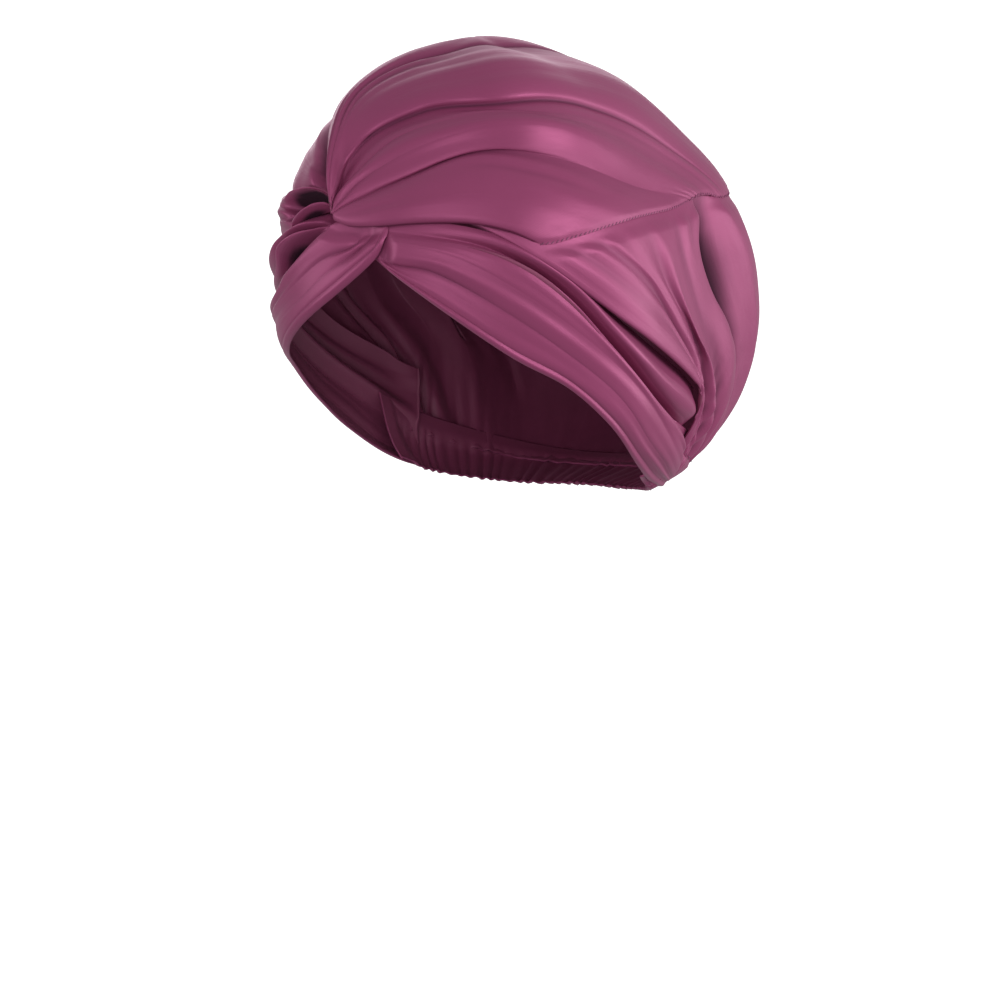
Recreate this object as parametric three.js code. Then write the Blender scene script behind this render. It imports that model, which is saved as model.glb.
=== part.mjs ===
// A satin sleep bonnet, a twist turban with two crossed wraps, in the form it has when worn.
// Millimetres, +Z up. The brow faces -Y and the wearer's left side is +X. The origin is the
// middle of the head opening, on the head's axis, level with the lowest rim at the nape.
//
// Every panel of cloth is a net of folds laid over one base form. A direction seen from
// FORM_CENTRE is an azimuth (0 at the brow, 90 at the wearer's left, 180 at the back) and an
// elevation, in degrees. The base form gives that direction a radius, and each fold lifts the
// cloth off it or presses it in.

import * as THREE from 'three';

const CLOTH = 1.6;            // thickness of a cloth wall
const LAP_STEP = 2.6;         // a tucked edge lies this far below the panel over it
const LAP_WIDTH = 5;          // the strip of a tucked edge that lies fully below
const LAP_RISE = 7;           // the strip after it, where the cloth comes up again

const SATIN = new THREE.MeshStandardMaterial({ color: 0x9a4b6d, roughness: 0.4, metalness: 0 });
SATIN.side = THREE.DoubleSide;

// ---------------------------------------------------------------- the base form

const FORM_CENTRE = new THREE.Vector3(0, 0, 80);
// Radii from FORM_CENTRE towards the front, left, back and right at each elevation, and the
// powers of the superellipse in plan for its front and its back half, where 2 is round.
const FORM_SECTIONS = [
  { elevation: -60, front: 92, left: 92, back: 106, right: 88, frontPower: 2.05, backPower: 2.35 },
  { elevation: -42, front: 99, left: 97, back: 112, right: 90, frontPower: 2.05, backPower: 2.35 },
  { elevation: -28, front: 96, left: 94, back: 136, right: 81, frontPower: 2.05, backPower: 2.35 },
  { elevation: -12, front: 93, left: 91, back: 155, right: 76, frontPower: 2.05, backPower: 2.35 },
  { elevation: 4, front: 94, left: 92, back: 157, right: 78, frontPower: 2.05, backPower: 2.35 },
  { elevation: 22, front: 99, left: 96, back: 148, right: 81, frontPower: 2.2, backPower: 2.35 },
  { elevation: 40, front: 101, left: 98, back: 130, right: 84, frontPower: 2.33, backPower: 2.33 },
  { elevation: 60, front: 107, left: 108, back: 120, right: 99, frontPower: 2.2, backPower: 2.2 },
  { elevation: 90, front: 115, left: 115, back: 115, right: 115, frontPower: 2, backPower: 2 },
];

// The elevation of the seam between the crown and the back, the same on both sides.
const SEAM = [
  { azimuth: 12, elevation: 22.2 },
  { azimuth: 27, elevation: 22.9 },
  { azimuth: 38, elevation: 22 },
  { azimuth: 50, elevation: 18 },
  { azimuth: 61, elevation: 20 },
  { azimuth: 73, elevation: 23 },
  { azimuth: 89, elevation: 26 },
  { azimuth: 107, elevation: 27.2 },
  { azimuth: 121, elevation: 28 },
  { azimuth: 129, elevation: 27 },
  { azimuth: 136, elevation: 24.5 },
  { azimuth: 150, elevation: 23 },
  { azimuth: 180, elevation: 22.5 },
];

// ---------------------------------------------------------------- the panels' folds
// A fold runs through stations, one for each column of its lists. lift raises the cloth at the
// fold off the base form, and runs smoothly from fold to fold. puff blows out the cloth between
// this fold and the next, which makes a crease of each, and peak is how far across it is
// highest (0.5 is halfway). tucked gives the sides of a panel that lie under a neighbour, and
// under how many layers: first and last are its first and last fold, start and end the folds'
// ends. The seam's azimuths are those where the folds meet it.

const LEFT_CROWN = {
  name: 'left_crown',
  strip: 5,
  along: 19,
  seam: { side: 'end', azimuths: [50, 116, 122, 139, 165, 198], hidden: 0 },
  folds: [
    { name: 'brow edge', peak: 0.5,
      azimuth: [-6.5, 2, 12, 24, 36, 44, 50], elevation: [23.3, 22, 22.3, 23, 22.3, 20.3, 18],
      lift: [2.5, 2, 1.5, 1, 0.5, 0, 0], puff: [0.5, 1.5, 3, 4, 4, 2.5, 0.5] },
    { name: 'low valley', peak: 0.5,
      azimuth: [-8.2, 0, 13, 30, 50, 80, 116], elevation: [24.8, 29.5, 35.5, 41.5, 42, 37, 27.8],
      lift: [2, 0, -1.5, -2.5, -2, -0.5, 0], puff: [0.3, 0.5, 0.5, 0.5, 0.5, 0.5, 0] },
    { name: 'pleat ridge', peak: 0.4,
      azimuth: [-8.8, -6, 6, 26, 52, 88, 122], elevation: [26, 30.5, 38.5, 44.5, 47.2, 42.5, 28],
      lift: [2, -0.5, 0.5, 1.5, 3, 2, 0], puff: [0.5, 2, 1.5, 1, 0.5, 0.5, 0.3] },
    { name: 'high valley', peak: 0.25,
      azimuth: [-9.6, -11, -4, 10, 34, 90, 139], elevation: [27, 41, 49, 54.5, 55, 56.5, 26.6],
      lift: [2, 0, -1, -1.5, -1.5, -1.5, 0], puff: [0.5, 3, 4, 4.5, 4.5, 4, 0.5] },
    { name: 'far valley', peak: 0.35,
      azimuth: [-10.5, -17, -24, -22, 8, 140, 165], elevation: [27.8, 40, 54, 68, 80, 76, 26],
      lift: [2, 1.5, 1, 0.5, 0.5, 0, 0.5], puff: [0.5, 2, 3, 3, 3, 3, 0.5] },
    { name: 'parting', peak: 0.5,
      azimuth: [-11.5, -18, -28, -50, -110, -157, -162], elevation: [28.5, 36, 46, 60, 68, 52, 26.2],
      lift: [2, 3, 3, 2, 1.5, 2, 2.3], puff: [0, 0, 0, 0, 0, 0, 0] },
  ],
};

const RIGHT_CROWN = {
  name: 'right_crown',
  strip: 5,
  along: 20,
  seam: { side: 'end', azimuths: [195.5, 242, 272, 310], hidden: 0 },
  tucked: { first: 1, start: 1 },
  folds: [
    { name: 'parting', peak: 0.6,
      azimuth: [-9.2, -16, -26, -47, -108, -160.5, -164.5],
      elevation: [29.5, 36.5, 47.5, 61.6, 70.2, 53, 26.2],
      lift: [0, 0, 0, 0, 0, 1.5, 2.3], puff: [0.5, 3, 4, 5, 4, 3, 0.5] },
    { name: 'side valley', peak: 0.5,
      azimuth: [-8.8, -15, -22, -31, -52, -88, -118], elevation: [28.2, 30, 29.5, 31, 36, 36, 27.8],
      lift: [0, -3, -4, -2, -1, -1, 0], puff: [0.5, 3, 4, 4, 4, 3, 0.5] },
    { name: 'pocket valley', peak: 0.5,
      azimuth: [-8, -14, -21, -29, -45, -68, -88], elevation: [26.5, 26, 24.2, 22.2, 24, 27, 26],
      lift: [0, -0.5, -1, -1, -1, -1, 0], puff: [0.5, 3, 3.5, 3, 2, 3, 0.5] },
    { name: 'brow edge', peak: 0.5,
      azimuth: [-6.5, -11.5, -18, -26, -37, -44, -50], elevation: [24.8, 23.6, 21.2, 19.6, 20, 19.5, 18],
      lift: [0, 0, 0, 0, 0, 0, 0], puff: [0, 0, 0, 0, 0, 0, 0] },
  ],
};

const LEFT_BAND = {
  name: 'left_band',
  strip: 5,
  along: 26,
  tucked: { start: 2, last: 2, end: 1 },
  folds: [
    { name: 'rim', peak: 0.5,
      azimuth: [6.5, 14, 28, 44, 60, 77, 97, 124],
      elevation: [15.2, 10.2, 0.5, -10.2, -18.2, -28.8, -39.2, -44.3],
      lift: [0, 0, 0, 0, 0, 0, 0, 0], puff: [0.5, 1, 1.5, 1.5, 1.5, 1.5, 1.5, 1] },
    { name: 'face ridge', peak: 0.45,
      azimuth: [7, 17, 31, 45, 60, 77, 97, 123],
      elevation: [18, 13.5, 8.5, 1, -7, -18, -31, -40],
      lift: [0, -0.5, 1, 3, 3.5, 4, 4, 0], puff: [0.5, 1.5, 1.5, 1, 1, 1, 1, 1] },
    { name: 'lower crease', peak: 0.45,
      azimuth: [7.8, 20, 35, 46, 57, 71, 92, 119],
      elevation: [21, 20.2, 17.5, 12.5, 3, -8.5, -20.5, -30],
      lift: [0, 0, -1, -2, -2, -2, -2, 0], puff: [0.5, 1, 2, 3, 3.5, 3.5, 3, 1] },
    { name: 'upper edge', peak: 0.5,
      azimuth: [8.5, 22, 38, 50, 63, 77, 97, 117],
      elevation: [24.5, 23.8, 21.1, 16.4, 8.5, 0, -7.5, -15.5],
      lift: [0, 0, 0, 0, 0, 0, 0, 0], puff: [0, 0, 0, 0, 0, 0, 0, 0] },
  ],
};

const RIGHT_BAND = {
  name: 'right_band',
  strip: 5,
  along: 26,
  tucked: { start: 1, last: 2, end: 1 },
  folds: [
    { name: 'rim', peak: 0.5,
      azimuth: [11, 9.2, -5, -20, -36, -58, -92, -124],
      elevation: [24.4, 14.2, 6, -3, -10, -19, -36, -44.3],
      lift: [0, 1, 1, 0.5, 0, 0, 0, 0], puff: [0.5, 1.5, 2, 2, 1.5, 1.5, 1.5, 1] },
    { name: 'turning fold', peak: 0.55,
      azimuth: [5.5, 3.5, -6, -17, -32, -55, -89, -123],
      elevation: [24.4, 16.5, 11, 5, 0, -8, -27, -40],
      lift: [0, 0, 1.5, 2.5, 3, 3.5, 4, 0], puff: [0.5, 2, 2.5, 2, 2, 1.5, 1.5, 1] },
    { name: 'middle crease', peak: 0.5,
      azimuth: [-3, -8, -15, -21, -31, -54, -84, -119],
      elevation: [24.8, 22.6, 18, 14.2, 8, 1, -17, -30],
      lift: [0, -1, -2, -3, -3, -3, -2, 0], puff: [0.5, 3, 5, 6, 5, 4, 3, 1] },
    { name: 'upper edge', peak: 0.5,
      azimuth: [-6, -11, -18, -26, -40, -62, -90, -117],
      elevation: [26.3, 25, 22.8, 21, 20, 10, -5, -15.5],
      lift: [0, 0, 0, 0, 0, 0, 0, 0], puff: [0, 0, 0, 0, 0, 0, 0, 0] },
  ],
};

// The back's folds on the left side and the middle one; the right side mirrors them.
const BACK_FOLDS = [
  { name: 'front edge', peak: 0.5,
    azimuth: [36, 45, 56, 74, 98, 113, 116.5, 121],
    elevation: [21.2, 16.5, 9.8, -3, -11, -17.5, -26, -34.5],
    lift: [0, 0, 0.5, 1, 1, 1, 0.5, 0], puff: [0, 0.5, 1, 1, 1, 1, 0.5, 0] },
  { name: 'ear valley', peak: 0.5,
    azimuth: [52, 60, 70, 83, 98, 112, 120, 125],
    elevation: [21, 19.5, 16.5, 9.5, -2, -12, -24, -34.5],
    lift: [0, 0, 0, -0.5, -1, -1, -1, 0.3], puff: [0, 0, 0, 0, 0, 0, 0, 0] },
  { name: 'ear ridge', peak: 0.5,
    azimuth: [72, 76, 82, 90, 103, 115, 123, 129],
    elevation: [24, 20.5, 15.5, 9, -3, -13.5, -24, -34.5],
    lift: [0, 0.5, 1, 2, 2, 1.5, 1, 0.5], puff: [0, 0, 0, 0, 0, 0, 0, 0] },
  { name: 'shallow valley', peak: 0.5,
    azimuth: [86, 88, 92, 98, 108, 118, 127, 133],
    elevation: [28, 23, 16, 8, -4, -14.5, -24.5, -34.5],
    lift: [0, 0, -0.5, -0.5, -1, -1.5, -1.5, 0.3], puff: [0, 0, 0, 0, 0, 0, 0, 0] },
  { name: 'broad ridge', peak: 0.5,
    azimuth: [99, 99, 100, 103, 112, 122, 131, 137],
    elevation: [30, 24, 16, 8, -5, -15, -25, -34.5],
    lift: [0, 0.5, 1, 1.5, 2, 2, 1, 0.5], puff: [0, 0, 0.5, 1, 1, 0.5, 0, 0] },
  { name: 'crest', peak: 0.5,
    azimuth: [119, 117, 117, 121, 130, 136, 138, 141],
    elevation: [31, 24, 17, 8, -2, -10, -22, -34.5],
    lift: [0, 0, -2, -3, -1.5, 1, 1.5, 0], puff: [0, 0, 0.5, 0.5, 0.5, 0.5, 0, 0] },
  { name: 'deep fold', peak: 0.5,
    azimuth: [123, 121, 122, 127, 135, 142, 145, 146],
    elevation: [31, 24, 16.5, 7.5, -2, -10, -22, -34.5],
    lift: [0, -3, -12, -15, -11, -6, -3, 0.3], puff: [0, 0, 0, 0, 0, 1, 1, 0] },
  { name: 'lobe', peak: 0.5,
    azimuth: [131, 131, 133, 138, 146, 152, 154, 154],
    elevation: [30.5, 24, 16, 8, -1.5, -10, -23, -34.5],
    lift: [0, 0.5, 1.5, 2, 2, 2, 1, 0.5], puff: [0, 0, 0.5, 0.5, 0.5, 0.5, 0, 0.5] },
  { name: 'back valley', peak: 0.5,
    azimuth: [156, 156, 157, 159, 162, 164, 165, 165],
    elevation: [29.5, 23, 15, 7, -2, -11, -23, -34.5],
    lift: [0, -0.5, -1, -1, -1, -1, -1, 0.5], puff: [0, 0, 0, 0, 0, 0, 0, 0.5] },
  { name: 'centre back', peak: 0.5,
    azimuth: [180, 180, 180, 180, 180, 180, 180, 180],
    elevation: [29, 22, 14, 6, -3, -12, -23, -34.5],
    lift: [0, 1, 2, 2.5, 2.5, 2, 1, 0.5], puff: [0, 0, 0, 0, 0, 0, 0, 0] },
];

const BACK_PANEL = {
  name: 'back_panel',
  strip: 2,
  along: 16,
  seam: {
    side: 'start',
    azimuths: withMirroredAngles([36, 52, 72, 86, 99, 119, 123, 131, 156, 180]),
    hidden: 3.5,
  },
  tucked: { start: 1 },
  folds: withMirror(BACK_FOLDS),
};

const NAPE_CASING = {
  name: 'nape_casing',
  strip: 4,
  along: 28,
  tucked: { start: 2, end: 2, last: 1 },
  folds: [
    { name: 'rim', peak: 0.5,
      azimuth: [120.5, 150, 180, 210, 239.5], elevation: [-44.6, -45, -45.3, -45, -44.6],
      lift: [0, 0, 0, 0, 0], puff: [2, 2, 2, 2, 2] },
    { name: 'upper edge', peak: 0.5,
      azimuth: [117.5, 150, 180, 210, 242.5], elevation: [-33, -33, -33, -33, -33],
      lift: [0, 0, 0, 0, 0], puff: [0, 0, 0, 0, 0] },
  ],
};

// Azimuths of one side, then of the other in the opposite order.
function withMirroredAngles(angles) {
  return [...angles, ...angles.slice(0, -1).map((angle) => 360 - angle).reverse()];
}

// The folds of one side, then the same ones on the other side in the opposite order. The
// cloth between two folds keeps its puff, and its peak swaps sides.
function withMirror(folds) {
  const mirrored = folds.slice(0, -1).map((fold, index) => {
    const between = folds[Math.max(index - 1, 0)];
    return {
      ...fold,
      azimuth: fold.azimuth.map((angle) => 360 - angle),
      puff: between.puff,
      peak: 1 - between.peak,
    };
  });
  return [...folds, ...mirrored.reverse()];
}

// ---------------------------------------------------------------- curves and directions

const radians = THREE.MathUtils.degToRad;

function smoothRise(x) {
  return THREE.MathUtils.smoothstep(x, 0, 1);
}

// A direction from the centre as a unit vector.
function direction(azimuth, elevation) {
  const level = Math.cos(radians(elevation));
  return new THREE.Vector3(
    Math.sin(radians(azimuth)) * level,
    -Math.cos(radians(azimuth)) * level,
    Math.sin(radians(elevation)),
  );
}

// The weights of four neighbouring values on a Catmull-Rom curve, u of the way from the
// second to the third.
function curveWeights(u) {
  const square = u * u;
  const cube = square * u;
  return [
    0.5 * (-u + 2 * square - cube),
    0.5 * (2 - 5 * square + 3 * cube),
    0.5 * (u + 4 * square - 3 * cube),
    0.5 * (cube - square),
  ];
}

// The value at place (0 is the first item) of a smooth curve through items, which are numbers
// or vectors. Beyond each end the curve goes straight on.
function smoothThrough(items, place, combine) {
  const last = items.length - 1;
  const index = Math.min(Math.floor(place), last - 1);
  const before = index > 0 ? items[index - 1] : combine([2, items[0]], [-1, items[1]]);
  const after = index + 2 <= last ? items[index + 2] : combine([2, items[last]], [-1, items[last - 1]]);
  const weights = curveWeights(place - index);
  return combine(
    [weights[0], before],
    [weights[1], items[index]],
    [weights[2], items[index + 1]],
    [weights[3], after],
  );
}

function addNumbers(...terms) {
  return terms.reduce((sum, [weight, value]) => sum + weight * value, 0);
}

function addVectors(...terms) {
  return terms.reduce((sum, [weight, vector]) => sum.addScaledVector(vector, weight), new THREE.Vector3());
}

const numberAt = (numbers, place) => smoothThrough(numbers, place, addNumbers);
const directionAt = (vectors, place) => smoothThrough(vectors, place, addVectors).normalize();

// A smooth curve through the rows of a table whose column `key` goes up unevenly.
function tableValue(rows, key, column, x) {
  const last = rows.length - 1;
  const held = THREE.MathUtils.clamp(x, rows[0][key], rows[last][key]);
  const above = rows.findIndex((row, index) => index === last || (index > 0 && row[key] > held));
  const index = above - 1;
  const slope = (at) => {
    const low = rows[Math.max(at - 1, 0)];
    const high = rows[Math.min(at + 1, last)];
    return (high[column] - low[column]) / (high[key] - low[key]);
  };
  const width = rows[index + 1][key] - rows[index][key];
  const t = (held - rows[index][key]) / width;
  const rise = smoothRise(t);
  return (
    rows[index][column] * (1 - rise)
    + rows[index + 1][column] * rise
    + width * (t * (1 - t) ** 2 * slope(index) - t * t * (1 - t) * slope(index + 1))
  );
}

// ---------------------------------------------------------------- points on the form

function formRadius(towards) {
  const elevation = THREE.MathUtils.radToDeg(Math.asin(THREE.MathUtils.clamp(towards.z, -1, 1)));
  const azimuth = Math.atan2(towards.x, -towards.y);
  const sideways = Math.sin(azimuth);
  const forwards = Math.cos(azimuth);
  const size = (column) => tableValue(FORM_SECTIONS, 'elevation', column, elevation);
  const width = size(sideways > 0 ? 'left' : 'right');
  const length = size(forwards > 0 ? 'front' : 'back');
  const power = size(forwards > 0 ? 'frontPower' : 'backPower');
  const sum = Math.abs(sideways / width) ** power + Math.abs(forwards / length) ** power;
  return sum ** (-1 / power);
}

function pointOn(towards, lift) {
  return FORM_CENTRE.clone().addScaledVector(towards, formRadius(towards) + lift);
}

// The direction of the seam at an azimuth, or of a line that runs so many millimetres above it.
function seamDirection(azimuth, above) {
  const fromFront = 180 - Math.abs(azimuth - 180);
  const elevation = tableValue(SEAM, 'azimuth', 'elevation', fromFront);
  const radius = formRadius(direction(azimuth, elevation));
  return direction(azimuth, elevation + THREE.MathUtils.radToDeg(above / radius));
}

// ---------------------------------------------------------------- a panel of cloth

// Where the net's columns lie: closer together near the folds than between them.
function columnPlaces(panel) {
  const places = [];
  for (let fold = 0; fold < panel.folds.length - 1; fold += 1) {
    for (let step = 0; step < panel.strip; step += 1) {
      const even = step / panel.strip;
      const gathered = 0.5 - 0.5 * Math.cos(Math.PI * even);
      places.push({ fold, across: 0.4 * even + 0.6 * gathered });
    }
  }
  places.push({ fold: panel.folds.length - 2, across: 1 });
  return places;
}

// How high the cloth stands at a place across from one fold to the next: 1 at the peak.
function puffShape(fold, across) {
  const skew = Math.log(0.5) / Math.log(fold.peak);
  return Math.max(Math.sin(Math.PI * across ** skew), 0);
}

// The net of a panel: a direction, a lift and a puff for each column and each step along it.
function netOf(panel) {
  const stations = panel.folds[0].azimuth.length;
  const lines = panel.folds.map((fold) => {
    const towards = fold.azimuth.map((azimuth, index) => direction(azimuth, fold.elevation[index]));
    return Array.from({ length: panel.along + 1 }, (_, step) => {
      const place = (step / panel.along) * (stations - 1);
      return {
        towards: directionAt(towards, place),
        lift: numberAt(fold.lift, place),
        puff: numberAt(fold.puff, place),
      };
    });
  });
  return columnPlaces(panel).map(({ fold, across }) => {
    const column = lines[0].map((_, step) => ({
      towards: directionAt(lines.map((line) => line[step].towards), fold + across),
      lift: numberAt(lines.map((line) => line[step].lift), fold + across),
      puff: lines[fold][step].puff * puffShape(panel.folds[fold], across),
      shown: 1,
      depth: 0,
    }));
    if (panel.seam) {
      const { side, azimuths, hidden } = panel.seam;
      const azimuth = THREE.MathUtils.lerp(azimuths[fold], azimuths[fold + 1], across);
      bendToSeam(column, side, seamDirection(azimuth, hidden));
    }
    return column;
  });
}

// Draws the part of a column near the seam sideways, so that it ends exactly at the target.
function bendToSeam(column, side, target) {
  const bent = 0.45;
  const reached = side === 'end' ? column.at(-1) : column[0];
  const miss = target.clone().sub(reached.towards);
  column.forEach((knot, step) => {
    const along = step / (column.length - 1);
    const away = side === 'end' ? 1 - along : along;
    const pull = Math.max(1 - away / bent, 0) ** 2;
    knot.towards = knot.towards.clone().addScaledVector(miss, pull).normalize();
  });
}

// One side of a panel's net as the straight lines between its points.
function sideLines(points, side) {
  const edge = {
    first: points[0],
    last: points.at(-1),
    start: points.map((column) => column[0]),
    end: points.map((column) => column.at(-1)),
  }[side];
  return edge.slice(1).map((point, index) => new THREE.Line3(edge[index], point));
}

function distanceTo(lines, point) {
  const nearest = new THREE.Vector3();
  return Math.min(...lines.map((line) => line.closestPointToPoint(point, true, nearest).distanceTo(point)));
}

// Presses the tucked sides of a panel below its neighbours and flattens its puffs there.
function tuckSides(net, panel) {
  const points = net.map((column) => column.map((knot) => pointOn(knot.towards, 0)));
  for (const [side, layers] of Object.entries(panel.tucked ?? {})) {
    const lines = sideLines(points, side);
    net.forEach((column, index) => column.forEach((knot, step) => {
      const risen = smoothRise((distanceTo(lines, points[index][step]) - LAP_WIDTH) / LAP_RISE);
      knot.shown = Math.min(knot.shown, risen);
      knot.depth = Math.max(knot.depth, (1 - risen) * layers * LAP_STEP);
    }));
  }
}

function knotHeight(knot) {
  return knot.lift + knot.puff * knot.shown - knot.depth;
}

// A closed shell: the outer and the inner face of the cloth, joined around all four sides.
function shellOf(net) {
  const columns = net.length;
  const steps = net[0].length;
  const positions = [];
  for (const offset of [CLOTH / 2, -CLOTH / 2]) {
    for (const column of net) {
      for (const knot of column) {
        positions.push(...pointOn(knot.towards, knotHeight(knot) + offset).toArray());
      }
    }
  }
  const outer = (column, step) => column * steps + step;
  const inner = (column, step) => columns * steps + outer(column, step);
  const faces = [];
  const quad = (a, b, c, d) => faces.push(a, b, c, a, c, d);
  for (let column = 0; column < columns - 1; column += 1) {
    for (let step = 0; step < steps - 1; step += 1) {
      quad(outer(column, step), outer(column, step + 1), outer(column + 1, step + 1), outer(column + 1, step));
      quad(inner(column, step), inner(column + 1, step), inner(column + 1, step + 1), inner(column, step + 1));
    }
    quad(outer(column, 0), outer(column + 1, 0), inner(column + 1, 0), inner(column, 0));
    const end = steps - 1;
    quad(outer(column + 1, end), outer(column, end), inner(column, end), inner(column + 1, end));
  }
  for (let step = 0; step < steps - 1; step += 1) {
    quad(outer(0, step + 1), outer(0, step), inner(0, step), inner(0, step + 1));
    const last = columns - 1;
    quad(outer(last, step), outer(last, step + 1), inner(last, step + 1), inner(last, step));
  }
  return { positions, faces };
}

// The volume that faces enclose: negative when they point inwards.
function enclosedVolume({ positions, faces }) {
  const corner = (index) => new THREE.Vector3().fromArray(positions, index * 3);
  let volume = 0;
  for (let face = 0; face < faces.length; face += 3) {
    const [a, b, c] = [corner(faces[face]), corner(faces[face + 1]), corner(faces[face + 2])];
    volume += a.dot(b.cross(c)) / 6;
  }
  return volume;
}

function clothPanel(panel) {
  const net = netOf(panel);
  tuckSides(net, panel);
  const shell = shellOf(net);
  if (enclosedVolume(shell) < 0) {
    shell.faces.reverse();
  }
  const geometry = new THREE.BufferGeometry();
  geometry.setAttribute('position', new THREE.Float32BufferAttribute(shell.positions, 3));
  geometry.setIndex(shell.faces);
  geometry.computeVertexNormals();
  const mesh = new THREE.Mesh(geometry, SATIN.clone());
  mesh.name = panel.name;
  return mesh;
}

// ---------------------------------------------------------------- the bonnet

const bonnet = new THREE.Group();
for (const panel of [LEFT_CROWN, RIGHT_CROWN, LEFT_BAND, RIGHT_BAND, BACK_PANEL, NAPE_CASING]) {
  bonnet.add(clothPanel(panel));
}

export default bonnet;
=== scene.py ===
# %% [markdown]
# # A satin sleep bonnet
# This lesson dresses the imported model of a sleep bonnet: a twist turban of mauve satin, shown in
# the form it has when worn. The real one is a few panels of thin doubled cloth. Two wraps cross
# at the brow, their upper legs fan out over the top of the head as the crown, their lower legs
# run down past the ears as bands, and a wide back panel is gathered onto elastic at the nape.
# Everything starts from the frame, which holds the solids at their real size and place.

import math

import bmesh
import bpy
import numpy as np
from mathutils import Matrix, Vector


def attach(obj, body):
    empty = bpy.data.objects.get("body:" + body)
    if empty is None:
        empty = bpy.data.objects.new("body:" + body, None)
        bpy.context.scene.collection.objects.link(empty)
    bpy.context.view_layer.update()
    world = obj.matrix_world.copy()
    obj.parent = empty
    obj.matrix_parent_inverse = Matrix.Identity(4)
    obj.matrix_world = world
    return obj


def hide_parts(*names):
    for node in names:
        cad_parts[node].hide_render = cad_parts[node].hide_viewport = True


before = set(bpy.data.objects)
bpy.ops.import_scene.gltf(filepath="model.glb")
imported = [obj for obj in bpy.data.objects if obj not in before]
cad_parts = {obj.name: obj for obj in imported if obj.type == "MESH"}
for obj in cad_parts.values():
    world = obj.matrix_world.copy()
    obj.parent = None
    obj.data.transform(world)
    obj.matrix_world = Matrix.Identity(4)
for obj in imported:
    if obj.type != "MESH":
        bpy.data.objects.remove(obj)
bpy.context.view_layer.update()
MM = 0.001
print("nodes:", sorted(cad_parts))

# %% [markdown]
# ## Two small helpers for materials
# Colours are written as the sRGB hex values a painter would pick, and shaders want linear light,
# so one function converts them. Another adds a node with its settings and its links in one call,
# which keeps each material's recipe short enough to read.


# %% Colour and node helpers
def linear(hex_colour):
    """An sRGB hex colour such as "#9a4b6d" as linear red, green, blue and alpha."""
    values = [int(hex_colour[start : start + 2], 16) / 255 for start in (1, 3, 5)]
    light = [v / 12.92 if v <= 0.04045 else ((v + 0.055) / 1.055) ** 2.4 for v in values]
    return (*light, 1.0)


def add_node(material, kind, settings=None, inputs=None):
    """Adds a node. A value in inputs is a number, a colour, or another node's output to link."""
    tree = material.node_tree
    node = tree.nodes.new(kind)
    for name, value in (settings or {}).items():
        setattr(node, name, value)
    for name, value in (inputs or {}).items():
        if isinstance(value, bpy.types.NodeSocket):
            tree.links.new(value, node.inputs[name])
        else:
            node.inputs[name].default_value = value
    return node


print("mauve in linear light:", [round(v, 3) for v in linear("#9a4b6d")])

# %% [markdown]
# ## Camera, room and light
# The camera looks at the wearer's left front, from a little above the brow, with a long lens so
# that the near side isn't swollen. The bonnet is held up as by a head, so the floor is well
# below it. A roll of pale paper could hang behind it, but it would end in the side views. So the
# paper goes all round as a closed room, whose floor bends up into its wall. Satin shows form by
# its highlights, so a few big soft lamps matter more here than the colour does: two strong ones
# on the wearer's left draw the broad highlights along the folds, and three weaker ones open the
# shadows at the front, on the right and at the back.

# %% Camera
# azimuth and elevation in degrees, distances in metres
CAMERA_AZIMUTH = 34
CAMERA_ELEVATION = 4
CAMERA_DISTANCE = 1.8
# what the picture takes in, from side to side, at that distance
PICTURE_WIDTH = 0.43
# the point that it looks at
SIGHT = Vector((0.008, 0.006, 0.0))
# in millimetres
SENSOR_WIDTH = 36


def towards_view(azimuth, elevation):
    """The unit vector from the bonnet to a viewpoint. Azimuth 0 is the brow, 90 the left ear."""
    a, e = math.radians(azimuth), math.radians(elevation)
    return Vector((math.sin(a) * math.cos(e), -math.cos(a) * math.cos(e), math.sin(e)))


to_camera = towards_view(CAMERA_AZIMUTH, CAMERA_ELEVATION)
camera = bpy.data.objects.new("camera", bpy.data.cameras.new("camera"))
camera.location = SIGHT + to_camera * CAMERA_DISTANCE
camera.rotation_euler = (-to_camera).to_track_quat("-Z", "Y").to_euler()
camera.data.sensor_width = SENSOR_WIDTH
camera.data.lens = SENSOR_WIDTH * CAMERA_DISTANCE / PICTURE_WIDTH
bpy.context.collection.objects.link(camera)
bpy.context.scene.camera = camera
bpy.context.scene.view_settings.view_transform = "Standard"
print("lens in mm:", round(camera.data.lens, 1))

# %% A round paper room
# in metres: how far the wall is, how high the room, how wide its bends, how low the floor
ROOM_RADIUS = 3.0
ROOM_HEIGHT = 4.2
ROOM_BEND = 1.0
FLOOR_DROP = 1.5
# flat pieces in a bend, and round the room
BEND_STEPS = 8
ROOM_STEPS = 72
PAPER_GLOW = 0.75


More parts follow.
